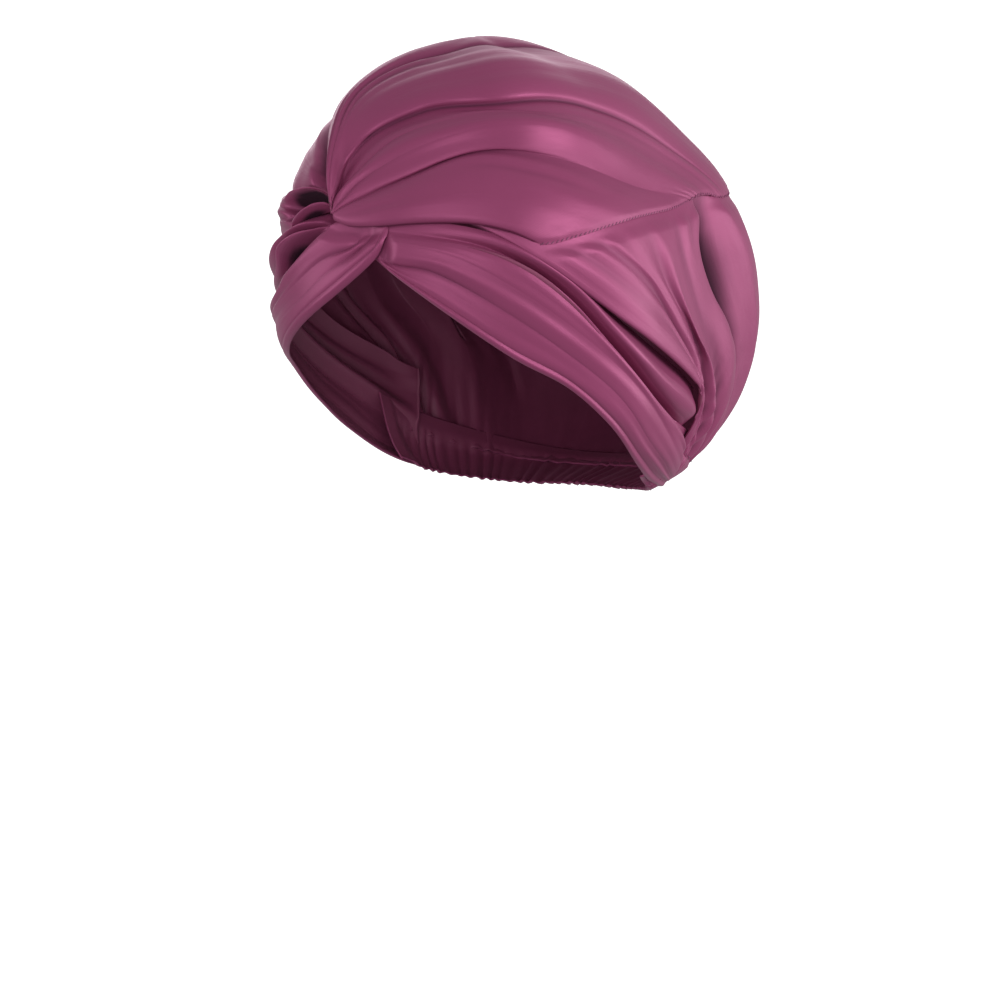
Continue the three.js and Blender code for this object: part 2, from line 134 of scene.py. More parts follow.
def make_room():
    """Half the room's outline, spun round the vertical axis."""
    outline = [(0.0, 0.0)]
    for low, centre_height in ((-90, ROOM_BEND), (0, ROOM_HEIGHT - ROOM_BEND)):
        for step in range(BEND_STEPS + 1):
            angle = math.radians(low + 90 * step / BEND_STEPS)
            reach = ROOM_RADIUS - ROOM_BEND + ROOM_BEND * math.cos(angle)
            outline.append((reach, centre_height + ROOM_BEND * math.sin(angle)))
    outline.append((0.0, ROOM_HEIGHT))
    bm = bmesh.new()
    corners = [bm.verts.new((reach, 0, height - FLOOR_DROP)) for reach, height in outline]
    edges = [bm.edges.new(pair) for pair in zip(corners[:-1], corners[1:])]
    bmesh.ops.spin(
        bm,
        geom=corners + edges,
        cent=(0, 0, 0),
        axis=(0, 0, 1),
        angle=2 * math.pi,
        steps=ROOM_STEPS,
        use_merge=True,
    )
    bmesh.ops.remove_doubles(bm, verts=bm.verts, dist=1e-5)
    bmesh.ops.recalc_face_normals(bm, faces=bm.faces)
    bmesh.ops.reverse_faces(bm, faces=bm.faces)
    mesh = bpy.data.meshes.new("paper_room")
    bm.to_mesh(mesh)
    bm.free()
    mesh.polygons.foreach_set("use_smooth", np.ones(len(mesh.polygons), bool))
    return bpy.data.objects.new("paper_room", mesh)


paper = bpy.data.materials.new("seamless_paper")
paper.use_nodes = True
paper_shader = paper.node_tree.nodes["Principled BSDF"]
paper_shader.inputs["Base Color"].default_value = linear("#f6f6f6")
paper_shader.inputs["Roughness"].default_value = 0.9
paper_shader.inputs["Emission Color"].default_value = (1, 1, 1, 1)
paper_shader.inputs["Emission Strength"].default_value = PAPER_GLOW
room = make_room()
room.data.materials.append(paper)
# only the camera sees the room, so its walls neither light the satin nor keep the lamps out
for ray in ("diffuse", "glossy", "transmission", "shadow"):
    setattr(room, f"visible_{ray}", False)
bpy.context.collection.objects.link(room)
print("room faces:", len(room.data.polygons))

# %% Soft lamps and the room's light
# name, azimuth and elevation from the bonnet in degrees, distance and size in metres, watts
LAMPS = [
    ("key", 88, 14, 1.7, 0.9, 15),
    ("side", 128, -2, 1.7, 1.2, 15),
    ("front", 20, 5, 2.0, 1.2, 9.5),
    ("fill", -45, 5, 1.7, 1.2, 9),
    ("back", -140, 20, 1.7, 1.2, 7),
]
LAMP_AIM = Vector((0.0, 0.03, 0.1))
# the even light from all round
AIR_LIGHT = 0.45


def add_lamp(name, azimuth, elevation, distance, size, watts):
    """A square soft lamp that looks at the bonnet."""
    towards = towards_view(azimuth, elevation)
    lamp = bpy.data.objects.new(name, bpy.data.lights.new(name, "AREA"))
    lamp.data.energy = watts
    lamp.data.size = size
    lamp.location = LAMP_AIM + towards * distance
    lamp.rotation_euler = (-towards).to_track_quat("-Z", "Y").to_euler()
    bpy.context.collection.objects.link(lamp)


for lamp_row in LAMPS:
    add_lamp(*lamp_row)
world = bpy.data.worlds.new("room")
bpy.context.scene.world = world
world.use_nodes = True
background = world.node_tree.nodes["Background"]
background.inputs["Color"].default_value = (1, 1, 1, 1)
background.inputs["Strength"].default_value = AIR_LIGHT
print("lamps:", [row[0] for row in LAMPS])

# %% [markdown]
# ## The base form
# A draped cap could be left to a cloth simulation, but a twist turban's folds are sewn and pulled
# into place, and a simulation seldom puts them where they belong. So the cloth is laid out from
# listed folds, as a dressmaker drapes a block. The block is this base form. Seen from its centre,
# each direction has a radius: a superellipse in plan whose four radii change with the elevation.

# %% Base form: a radius for every direction
FORM_CENTRE = np.array([0.0, 0.0, 80.0])
# elevation in degrees, the radii towards the front, left, back and right in millimetres, and the
# powers of the superellipse in plan for its front and its back half, where 2 is round
FORM_SECTIONS = np.array(
    [
        (-60, 92, 92, 106, 88, 2.05, 2.35),
        (-42, 99, 97, 112, 90, 2.05, 2.35),
        (-28, 96, 94, 136, 81, 2.05, 2.35),
        (-12, 93, 91, 155, 76, 2.05, 2.35),
        (4, 94, 92, 157, 78, 2.05, 2.35),
        (22, 99, 96, 148, 81, 2.2, 2.35),
        (40, 101, 98, 130, 84, 2.33, 2.33),
        (60, 107, 108, 120, 99, 2.2, 2.2),
        (90, 115, 115, 115, 115, 2, 2),
    ],
    float,
)


def table_curve(table, x):
    """Smooth curves through a table's columns. Its first column goes up unevenly."""
    keys, columns = table[:, 0], table[:, 1:]
    slopes = np.zeros_like(columns)
    slopes[0] = (columns[1] - columns[0]) / (keys[1] - keys[0])
    slopes[-1] = (columns[-1] - columns[-2]) / (keys[-1] - keys[-2])
    slopes[1:-1] = (columns[2:] - columns[:-2]) / (keys[2:] - keys[:-2])[:, None]
    x = np.clip(x, keys[0], keys[-1])
    row = np.clip(np.searchsorted(keys, x, side="right") - 1, 0, len(keys) - 2)
    width = (keys[row + 1] - keys[row])[..., None]
    t = (x - keys[row])[..., None] / width
    rise = t * t * (3 - 2 * t)
    bend = t * (1 - t) ** 2 * slopes[row] - t * t * (1 - t) * slopes[row + 1]
    return columns[row] * (1 - rise) + columns[row + 1] * rise + width * bend


def direction(azimuth, elevation):
    """Unit vectors from the centre. Azimuth 0 is the brow, 90 the wearer's left, 180 the back."""
    a, e = np.radians(azimuth), np.radians(elevation)
    return np.stack([np.sin(a) * np.cos(e), -np.cos(a) * np.cos(e), np.sin(e)], axis=-1)


def form_radius(towards):
    """The base form's radius in each direction, in millimetres."""
    elevation = np.degrees(np.arcsin(np.clip(towards[..., 2], -1, 1)))
    azimuth = np.arctan2(towards[..., 0], -towards[..., 1])
    front, left, back, right, front_power, back_power = np.moveaxis(
        table_curve(FORM_SECTIONS, elevation), -1, 0
    )
    in_front = np.cos(azimuth) > 0
    length = np.where(in_front, front, back)
    width = np.where(np.sin(azimuth) > 0, left, right)
    power = np.where(in_front, front_power, back_power)
    across = np.abs(np.sin(azimuth) / width) ** power
    along = np.abs(np.cos(azimuth) / length) ** power
    return (across + along) ** (-1 / power)


def on_form(towards, lift):
    """Points that stand lift millimetres off the base form."""
    return FORM_CENTRE + towards * (form_radius(towards) + lift)[..., None]


level_radii = form_radius(direction([0, 90, 180], [0, 0, 0]))
print("radius at the brow, left and back in mm:", level_radii.round())

# %% [markdown]
# ## Folds
# Each panel is a net of fold lines. A fold runs through a few stations, given as azimuths and
# elevations, and a smooth curve joins them. `lift` raises the fold's line off the form or sinks
# it, and `puff` is how far the cloth between it and the next fold blows out: with it both lines
# become creases. `peak` says how far across that puff is highest, and `lap` pushes it sideways
# until it hangs over the crease, which is what makes a fold look like cloth and not like clay.


# %% Fold lines and smooth curves through them
def fold(azimuth, elevation, lift=0, puff=0, peak=0.5, lap=0):
    """One row of a panel's table. Single numbers hold all along the fold."""
    row = {"towards": direction(np.array(azimuth, float), np.array(elevation, float)), "peak": peak}
    for name, value in (("lift", lift), ("puff", puff), ("lap", lap)):
        row[name] = np.broadcast_to(np.asarray(value, float), (len(azimuth),))
    return row


def unit(vectors):
    """The same directions with a length of 1."""
    return vectors / np.linalg.norm(vectors, axis=-1, keepdims=True)


def smooth_rise(x):
    """0 below 0, 1 above 1, and a smooth step between."""
    x = np.clip(x, 0, 1)
    return x * x * (3 - 2 * x)


def smooth_through(rows, places, steepest=None):
    """
    A smooth curve through rows, at places where 0 is the first row and 1 the second. Where rows
    lie at uneven distances, steepest keeps the curve from swinging back near the closer ones: it
    is how many times the shorter gap a tangent may be.
    """
    rows = np.asarray(rows, float)
    gaps = np.diff(rows, axis=0)
    gaps = np.concatenate([gaps[:1], gaps, gaps[-1:]])
    tangents = (gaps[:-1] + gaps[1:]) / 2
    if steepest:
        lengths = np.linalg.norm(gaps, axis=-1, keepdims=True)
        room = steepest * np.minimum(lengths[:-1], lengths[1:])
        too_long = np.linalg.norm(tangents, axis=-1, keepdims=True) / np.maximum(room, 1e-9)
        tangents = tangents / np.maximum(too_long, 1)
    index = np.clip(np.floor(places).astype(int), 0, len(rows) - 2)
    t = (places - index).reshape((-1,) + (1,) * (rows.ndim - 1))
    curve = rows[index] + t * t * (3 - 2 * t) * (rows[index + 1] - rows[index])
    return curve + t * (1 - t) ** 2 * tangents[index] - t * t * (1 - t) * tangents[index + 1]


halfway = smooth_through([[0], [0], [1], [1]], np.array([1.5]))
print("halfway up a smooth step:", halfway.ravel())

# %% Columns between the folds
# 0 spreads the columns evenly, and 1 draws them close to the folds
GATHERED_SHARE = 0.6


def column_places(folds, strip):
    """Where the net's columns lie between the folds: closer together near each fold."""
    even = np.arange(strip) / strip
    gathered = 0.5 - 0.5 * np.cos(np.pi * even)
    within = (1 - GATHERED_SHARE) * even + GATHERED_SHARE * gathered
    places = np.concatenate([index + within for index in range(folds - 1)])
    return np.append(places, folds - 1)


print("columns of a two-fold strip:", column_places(2, 6).round(2))

# %% [markdown]
# ## From folds to a sheet
# The net becomes a sheet in four steps. The curves give every knot of the net a direction and a
# lift. The panel's end is bent onto the seam, where it is sewn. The sides that lie under a
# neighbour are pressed below it, so that one layer really passes under the next. Last, the free
# edges roll in a little, as a turned edge of satin does.

# %% The seam and the tucked sides
# azimuth and elevation of the seam between crown and back, the same on both sides
SEAM = np.array(
    [
        (12, 22.2),
        (27, 22.9),
        (38, 22.0),
        (50, 18.0),
        (61, 20.0),
        (73, 23.0),
        (89, 26.0),
        (107, 27.2),
        (121, 28.0),
        (129, 27.0),
        (136, 24.5),
        (150, 23.0),
        (180, 22.5),
    ],
    float,
)
# in millimetres: how far a layer lies below the next one, the width of the strip that is quite
# under it, and the width over which the cloth comes up again
LAP_STEP = 0.9
LAP_WIDTH = 5.0
LAP_RISE = 7.0
# a panel's side is measured from as a line of about this many pieces
SIDE_PIECES = 50


def seam_direction(azimuth, above=0.0):
    """The seam's direction at an azimuth, or that of a line some millimetres above it."""
    azimuth = np.asarray(azimuth, float)
    elevation = table_curve(SEAM, 180 - np.abs(azimuth - 180))[..., 0]
    radius = form_radius(direction(azimuth, elevation))
    return direction(azimuth, elevation + np.degrees(above / radius))


def distance_to_line(points, line):
    """The distance from each point to a line of short straight pieces."""
    nearest = np.full(len(points), np.inf)
    for start, end in zip(line[:-1], line[1:]):
        along = end - start
        t = np.clip((points - start) @ along / max(along @ along, 1e-9), 0, 1)
        gap = points - start - t[:, None] * along
        nearest = np.minimum(nearest, np.einsum("ij,ij->i", gap, gap))
    return np.sqrt(nearest)


def distance_from_side(flat, side):
    """The distance of each knot of the net from one side of it, over the base form."""
    line = {"first": flat[0], "last": flat[-1], "start": flat[:, 0], "end": flat[:, -1]}[side]
    line = line[:: max(1, len(line) // SIDE_PIECES)]
    return distance_to_line(flat.reshape(-1, 3), line).reshape(flat.shape[:2])


print("seam above the left ear:", seam_direction(90).round(2))

# %% A net of folds
# the share of a panel's length that bends to meet the seam
SEAM_BEND = 0.45
# how many times the shorter gap between two folds a tangent across them may be
STEEPEST = 1.3
# a lap's push ends at this many times the way to the puff's peak
LAP_REACH = 1.6
# in millimetres, the rough radius that turns a sideways push into a change of direction
LAP_RADIUS = 100


def lay_net(folds, strip, steps, seam=None):
    """Directions, lifts and puffs of a panel's knots: columns across the folds, steps along."""
    places = column_places(len(folds), strip)
    along = np.linspace(0, 1, steps)
    stations = along * (len(folds[0]["lift"]) - 1)
    lines = unit(np.stack([smooth_through(row["towards"], stations) for row in folds]))
    towards = unit(smooth_through(lines, places, steepest=STEEPEST))
    if seam:
        side, azimuths, above = seam
        azimuth = np.interp(places, np.arange(len(azimuths)), azimuths)
        reached = towards[:, -1] if side == "end" else towards[:, 0]
        away = 1 - along if side == "end" else along
        pull = np.clip(1 - away / SEAM_BEND, 0, 1) ** 2
        miss = seam_direction(azimuth, above) - reached
        towards = unit(towards + pull[None, :, None] * miss[:, None, :])
    table = {
        name: np.stack([smooth_through(row[name], stations) for row in folds])
        for name in ("lift", "puff", "lap")
    }
    index = np.clip(places.astype(int), 0, len(folds) - 2)
    across = places - index
    peak = np.array([row["peak"] for row in folds])[index]
    arc = np.sin(np.pi * across ** (math.log(0.5) / np.log(peak)))
    puff = table["puff"][index] * np.clip(arc, 0, 1)[:, None]
    sideways = unit(lines[index + 1] - lines[index])
    lap = table["lap"][index]
    down = np.clip(across / (peak * LAP_REACH), 0, 1)[:, None]
    up = np.clip((1 - across) / ((1 - peak) * LAP_REACH), 0, 1)[:, None]
    ahead = np.maximum(-lap, 0) * 4 * up * (1 - up) ** 2
    behind = np.maximum(lap, 0) * 4 * down * (1 - down) ** 2
    towards = unit(towards + sideways * ((ahead - behind) / LAP_RADIUS)[..., None])
    return towards, smooth_through(table["lift"], places), puff


sample_net = lay_net([fold([0, 30, 60], [10] * 3), fold([0, 30, 60], [20] * 3, lift=2)], 6, 9)
print("knots of a small net:", sample_net[0].shape[:2], "highest lift in mm:", sample_net[1].max())

# %% Where the creases are, and how much painted shade they get
# how many columns on each side count as the surroundings
CREASE_REACH = 5
# how far below the surroundings in millimetres a knot gets its full painted shade, and how dark
# that painted shade is
CREASE_FULL = 1.6
CREASE_SHADE = 0.8
# in millimetres: where painted shade starts to darken a hollow in the form, and over what further
# depth it reaches full
SUNK_START = 5
SUNK_FULL = 8
# the drop under a rim, for each millimetre across, past which painted shade darkens the cloth
RIM_SLOPE = 2.0
# in millimetres, so that a slope stays finite where all the folds meet in the twist
LEAST_REACH = 0.5


def painted_crease_shade(flat, height):
    """
    How much painted shade each knot gets, standing in for the shadow in the creases: 1 is full
    shade, at the bottom of a deep fold. It is painted where the cloth lies below the mean of its
    surroundings, where it drops steeply under a rim, or deep inside.
    """
    padded = np.pad(height, ((CREASE_REACH, CREASE_REACH), (0, 0)), mode="edge")
    beside = np.stack([padded[i : i + len(height)] for i in range(2 * CREASE_REACH + 1)])
    hollow = CREASE_SHADE * np.clip((beside.mean(axis=0) - height) / CREASE_FULL, 0, 1)
    reach = CREASE_REACH * np.linalg.norm(np.gradient(flat, axis=0), axis=-1) + LEAST_REACH
    overhung = smooth_rise(((beside.max(axis=0) - height) / reach - RIM_SLOPE) / RIM_SLOPE)
    sunk = smooth_rise((-height - SUNK_START) / SUNK_FULL)
    return np.max([hollow, overhung, sunk], axis=0)


sample_flat = on_form(sample_net[0], 0 * sample_net[1])
sample_shade = painted_crease_shade(sample_flat, sample_net[1])
print("deepest crease of the small net:", sample_shade.max().round(2))

# %% The points of a panel
# the width of a rolled edge in millimetres, and how deep it goes for each millimetre of that
EDGE_ROLL = 2.0
ROLL_SLOPE = 0.6
# a gap between columns counts as wide where it is wider than this share of them
WIDE_PART = 0.8


def cloth_across(flat):
    """How far each column is across the cloth, in millimetres, where the panel is wide."""
    gaps = np.linalg.norm(np.diff(flat, axis=0), axis=-1)
    return np.concatenate([[0], np.cumsum(np.quantile(gaps, WIDE_PART, axis=1))])


def lay_panel(folds, strip, steps, seam=None, tucked=None, rolled=(), ripples=()):
    """The points of a panel, in millimetres, and how much painted shade each one gets."""
    towards, lift, puff = lay_net(folds, strip, steps, seam)
    flat = on_form(towards, np.zeros(lift.shape))
    shown = np.ones(lift.shape)
    depth = np.zeros(lift.shape)
    for side, layers in (tucked or {}).items():
        risen = smooth_rise((distance_from_side(flat, side) - LAP_WIDTH) / LAP_RISE)
        shown = np.minimum(shown, risen)
        depth = np.maximum(depth, (1 - risen) * layers * LAP_STEP)
    for side in rolled:
        near = np.clip(1 - distance_from_side(flat, side) / EDGE_ROLL, 0, 1)
        depth = depth + near**2 * EDGE_ROLL * ROLL_SLOPE
    across = cloth_across(flat)[:, None]
    along = np.linspace(0, 1, steps)[None, :]
    for ripple in ripples:
        puff = puff + ripple(across, along, flat)
    height = lift + puff * shown - depth
    return on_form(towards, height), painted_crease_shade(flat, height)


print("width of the small net in mm:", cloth_across(sample_flat)[-1].round(1))

# %% [markdown]
# ## Satin
# Charmeuse satin is woven so that most of the thread on its face runs one way and floats over
# several crossing threads. That makes it smooth and glossy, with highlights that stretch across
# the floats. The recipe: a mauve base, a pale gloss with a roughness near 0.4, some anisotropy
# along the sheet's own UV map, and a fine bump of threads. The real threads are about 0.1 mm
# apart, too fine to show, so they are drawn at 0.5 mm and kept very shallow. Where the net says
# that the cloth lies deep in its creases, the gloss is duller and painted shade darkens the
# colour towards a near black plum. The inner side of charmeuse is matt, so it has a material of
# its own.

# %% Charmeuse satin, the face
# A wave texture of scale 1 has this many bands in one unit.
WAVE_BANDS = 20 / (2 * math.pi)
# in metres; the real threads are about 0.1 mm apart, too fine to show
THREAD_SPACING = 0.0005
# slubs, the slightly thicker stretches of thread, are about 1.1 mm wide and 17 mm long
SLUBS_PER_METRE = (900.0, 60.0, 1.0)
# faint patches where the dye took differently, 36 mm across
CLOUDS_PER_METRE = 28.0


def charmeuse_satin(name, light, dark, painted_shade_colour):
    """Glossy satin in two close shades, duller in its creases, where painted shade also darkens it.
    """
    material = bpy.data.materials.new(name)
    material.use_nodes = True
    tree = material.node_tree
    shader = tree.nodes["Principled BSDF"]
    uv = add_node(material, "ShaderNodeUVMap", {"uv_map": "cloth"}).outputs["UV"]
    slub_scale = add_node(
        material, "ShaderNodeMapping", inputs={"Vector": uv, "Scale": SLUBS_PER_METRE}
    ).outputs["Vector"]
    slubs = add_node(
        material, "ShaderNodeTexNoise", inputs={"Vector": slub_scale, "Scale": 1.0, "Detail": 3.0}
    ).outputs["Fac"]
    cloudy = add_node(
        material,
        "ShaderNodeTexNoise",
        inputs={"Vector": uv, "Scale": CLOUDS_PER_METRE, "Detail": 2.0},
    ).outputs["Fac"]
    bands = 1 / (WAVE_BANDS * THREAD_SPACING)
    threads = add_node(
        material,
        "ShaderNodeTexWave",
        {"bands_direction": "X"},
        {"Vector": uv, "Scale": bands, "Distortion": 0.6, "Detail": 1.0},
    ).outputs["Fac"]
    tint = add_node(
        material,
        "ShaderNodeMix",
        {"data_type": "RGBA"},
        {"Factor": cloudy, "A": linear(light), "B": linear(dark)},
    ).outputs["Result"]
    # painted shade: each knot's share of near black, standing in for the shadow in the creases
    painted_shade = add_node(material, "ShaderNodeAttribute", {"attribute_name": "painted_shade"}).outputs["Fac"]
    shaded = add_node(
        material,
        "ShaderNodeMix",
        {"data_type": "RGBA"},
        {"Factor": painted_shade, "A": tint, "B": linear(painted_shade_colour)},
    ).outputs["Result"]
    tree.links.new(shaded, shader.inputs["Base Color"])
    gloss = add_node(
        material,
        "ShaderNodeMapRange",
        inputs={"Value": slubs, "From Min": 0.3, "From Max": 0.7, "To Min": 0.34, "To Max": 0.42},
    ).outputs["Result"]
    dull = add_node(
        material,
        "ShaderNodeMath",
        {"operation": "MULTIPLY_ADD", "use_clamp": True},
        {0: painted_shade, 1: 0.45, 2: gloss},
    ).outputs["Value"]
    tree.links.new(dull, shader.inputs["Roughness"])
    weave = add_node(
        material,
        "ShaderNodeBump",
        inputs={"Height": threads, "Strength": 0.12, "Distance": 0.0001},
    ).outputs["Normal"]
    streaks = add_node(
        material,
        "ShaderNodeBump",
        inputs={"Height": slubs, "Strength": 0.15, "Distance": 0.0002, "Normal": weave},
    ).outputs["Normal"]
    tree.links.new(streaks, shader.inputs["Normal"])
    tangent = add_node(
        material, "ShaderNodeTangent", {"direction_type": "UV_MAP", "uv_map": "cloth"}
    ).outputs["Tangent"]
    tree.links.new(tangent, shader.inputs["Tangent"])
    shader.inputs["Metallic"].default_value = 0.22
    shader.inputs["Anisotropic"].default_value = 0.5
    shader.inputs["IOR"].default_value = 1.5
    shader.inputs["Specular IOR Level"].default_value = 0.5
    shader.inputs["Specular Tint"].default_value = linear("#e9aed2")
    return material


# the third colour is the near black plum of the painted shade in the creases
satin = charmeuse_satin("mauve_charmeuse_satin", "#8f4266", "#863c5f", "#230b19")
print("satin nodes:", len(satin.node_tree.nodes))

# %% Charmeuse satin, the back
# in metres; the cross threads show more on this side, and are closer together
BACK_THREAD_SPACING = 0.00035
# patches 17 mm across
BACK_CLOUDS_PER_METRE = 60.0


def satin_back(name, light, dark):
    """The inside of the satin: the same dye on a matt face, with its cross threads as a bump."""
    material = bpy.data.materials.new(name)
    material.use_nodes = True
    tree = material.node_tree
    shader = tree.nodes["Principled BSDF"]
    uv = add_node(material, "ShaderNodeUVMap", {"uv_map": "cloth"}).outputs["UV"]
    cloudy = add_node(
        material,
        "ShaderNodeTexNoise",
        inputs={"Vector": uv, "Scale": BACK_CLOUDS_PER_METRE, "Detail": 3.0},
    ).outputs["Fac"]
    tint = add_node(
        material,
        "ShaderNodeMix",
        {"data_type": "RGBA"},
        {"Factor": cloudy, "A": linear(light), "B": linear(dark)},
    ).outputs["Result"]
    tree.links.new(tint, shader.inputs["Base Color"])
    bands = 1 / (WAVE_BANDS * BACK_THREAD_SPACING)
    crossing = add_node(
        material,
        "ShaderNodeTexWave",
        {"bands_direction": "Y"},
        {"Vector": uv, "Scale": bands, "Distortion": 0.4},
    ).outputs["Fac"]
    bump = add_node(
        material,
        "ShaderNodeBump",
        inputs={"Height": crossing, "Strength": 0.15, "Distance": 0.0001},
    ).outputs["Normal"]
    tree.links.new(bump, shader.inputs["Normal"])
    shader.inputs["Roughness"].default_value = 0.62
    shader.inputs["Sheen Weight"].default_value = 0.15
    shader.inputs["Sheen Tint"].default_value = linear("#c98aa8")
    return material


satin_inside = satin_back("mauve_satin_back", "#7f3456", "#76304f")
print("nodes of the satin's back:", len(satin_inside.node_tree.nodes))

# %% [markdown]
# ## Making a sheet of cloth
# A sheet starts as a flat grid, which gives the even faces and the UV map that cloth needs. Its
# vertices are then moved onto the points of the net. The UV map is stretched to the sheet's real
# size, so that the weave has one scale everywhere. A Solidify modifier gives the doubled satin
# its thickness on the inner side.

# %% Grid to sheet
# two layers of satin together, in millimetres
CLOTH_THICKNESS = 0.9


def cloth_uv(points):
    """Real distances across and along the sheet at each knot, in metres."""
    wide = np.linalg.norm(np.diff(points, axis=0), axis=-1)
    long = np.linalg.norm(np.diff(points, axis=1), axis=-1)
    u = np.concatenate([[0], np.cumsum(wide.mean(axis=1))])
    v = np.concatenate([[0], np.cumsum(long.mean(axis=0))])
    return u * MM, v * MM


def mean_outwardness(mesh):
    """Above 0 where most faces look away from the form's centre."""
    centre = Vector(FORM_CENTRE * MM)
    return sum(face.normal.dot(face.center - centre) * face.area for face in mesh.polygons)


def make_sheet(name, panel, node):
    """A grid laid onto a panel's points, with a real-size UV map and a thickness inwards."""
    points, painted_shade = panel
    columns, steps = points.shape[:2]
    bm = bmesh.new()
    bm.loops.layers.uv.new("cloth")
    bmesh.ops.create_grid(bm, x_segments=columns - 1, y_segments=steps - 1, size=0.5)
    mesh = bpy.data.meshes.new(name)
    bm.to_mesh(mesh)
    bm.free()
    grid = np.empty(len(mesh.vertices) * 3)
    mesh.vertices.foreach_get("co", grid)
    grid = grid.reshape(-1, 3)
    column = np.rint((grid[:, 0] + 0.5) * (columns - 1)).astype(int)
    step = np.rint((grid[:, 1] + 0.5) * (steps - 1)).astype(int)
    mesh.vertices.foreach_set("co", (points[column, step] * MM).ravel())
    # each knot's share of painted shade, for the satin's colour
    shade = mesh.attributes.new("painted_shade", "FLOAT", "POINT")
    shade.data.foreach_set("value", painted_shade[column, step])
    corner = np.empty(len(mesh.loops), int)
    mesh.loops.foreach_get("vertex_index", corner)
    u, v = cloth_uv(points)
    uvs = np.stack([u[column[corner]], v[step[corner]]], axis=-1)
    mesh.uv_layers["cloth"].data.foreach_set("uv", uvs.ravel())
    mesh.update()
    if mean_outwardness(mesh) < 0:
        mesh.flip_normals()
    for polygon in mesh.polygons:
        polygon.use_smooth = True
    sheet = bpy.data.objects.new(name, mesh)
    bpy.context.collection.objects.link(sheet)
    solidify = sheet.modifiers.new("doubled cloth", "SOLIDIFY")
    solidify.thickness = CLOTH_THICKNESS * MM
    solidify.offset = -1
    solidify.material_offset = 1
    sheet.data.materials.append(satin)
    sheet.data.materials.append(satin_inside)
    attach(sheet, "root")
    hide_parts(node)
    area = sum(polygon.area for polygon in mesh.polygons)
    print(f"{name}: {len(mesh.polygons)} faces, {area * 1e4:.0f} cm2, {u[-1]:.3f} by {v[-1]:.3f} m")
    return sheet


sample_uv = cloth_uv(sample_flat)
print("the small net's cloth in m:", sample_uv[0][-1].round(3), "by", sample_uv[1][-1].round(3))

# %% [markdown]
# ## Drag lines
# Stretched satin is never quite smooth between its folds. Pull makes long shallow lines that run
# with the folds and fade out along them. They are a few waves added together, with their places
# picked by a seeded generator, so that each run makes the same cloth.


# %% Drag lines along the folds
DRAG_WAVES = 6
DRAG_PATCHES = 3


def pick_waves(picker, count, rates, drifts):
    """A few waves: how often each comes across the folds, how it drifts along, where it starts."""
    return [
        (picker.uniform(*rates), picker.uniform(*drifts), picker.uniform(0, 2 * math.pi))
        for _ in range(count)
    ]


def add_waves(waves, across, along):
    """The waves added together, where across is in wavelengths and along is from 0 to 1."""
    return sum(
        np.cos(2 * math.pi * (rate * across + drift * along) + start)
        for rate, drift, start in waves
    )


def drag_lines(seed, height, wavelength, fade):
    """Long shallow waves. `fade` scales their height at even steps along the folds."""
    picker = np.random.default_rng(seed)
    waves = pick_waves(picker, DRAG_WAVES, (0.6, 1.9), (-1.2, 1.2))
    patches = pick_waves(picker, DRAG_PATCHES, (0.2, 0.5), (0.8, 2.2))

    def ripple(across, along, flat):
        strength = np.interp(along, np.linspace(0, 1, len(fade)), fade)
        patchy = 0.75 + 0.3 * add_waves(patches, across / wavelength, along)
        return height / 2.4 * add_waves(waves, across / wavelength, along) * strength * patchy

    return ripple


waviness = drag_lines(1, 0.4, 12, [1, 1])(np.array([0.0, 5.0]), 0.5, None)
print("drag lines at two knots in mm:", waviness.round(3))

# %% Puckers along a seam
# in millimetres: the puckers, and the groove that the stitches pull
PUCKER_SPACING = 3.4
PUCKER_HEIGHT = 0.22
PUCKER_REACH = 5
GROOVE_DEPTH = 0.7
GROOVE_REACH = 1.6


def seam_puckers(side):
    """The dent of a sewn seam and the small puckers that its stitches draw beside it."""

    def ripple(across, along, flat):
        away = distance_from_side(flat, side)
        run = np.linalg.norm(np.diff(flat[:, -1 if side == "end" else 0], axis=0), axis=-1)
        run = np.concatenate([[0], np.cumsum(run)])[:, None]
        wave = np.cos(2 * math.pi * run / PUCKER_SPACING + 1.3 * np.sin(run / 11))
        uneven = 0.6 + 0.4 * np.sin(run / 7.3)
        puckers = PUCKER_HEIGHT * wave * uneven * np.exp(-((away / PUCKER_REACH) ** 2))
        return puckers - GROOVE_DEPTH * np.exp(-((away / GROOVE_REACH) ** 2))

    return ripple


print("puckers in 10 cm of seam:", round(100 / PUCKER_SPACING))

# %% [markdown]
# ## Left crown
# This is the left wrap's upper leg, and the most visible panel. Its cloth comes out of the twist
# as a narrow bundle and fans out over the head to the seam behind the ear. The table below gives
# its folds in order, from the edge over the brow up to the parting on top. They are few and wide,
# so each gets a row of its own, which keeps every one easy to move.

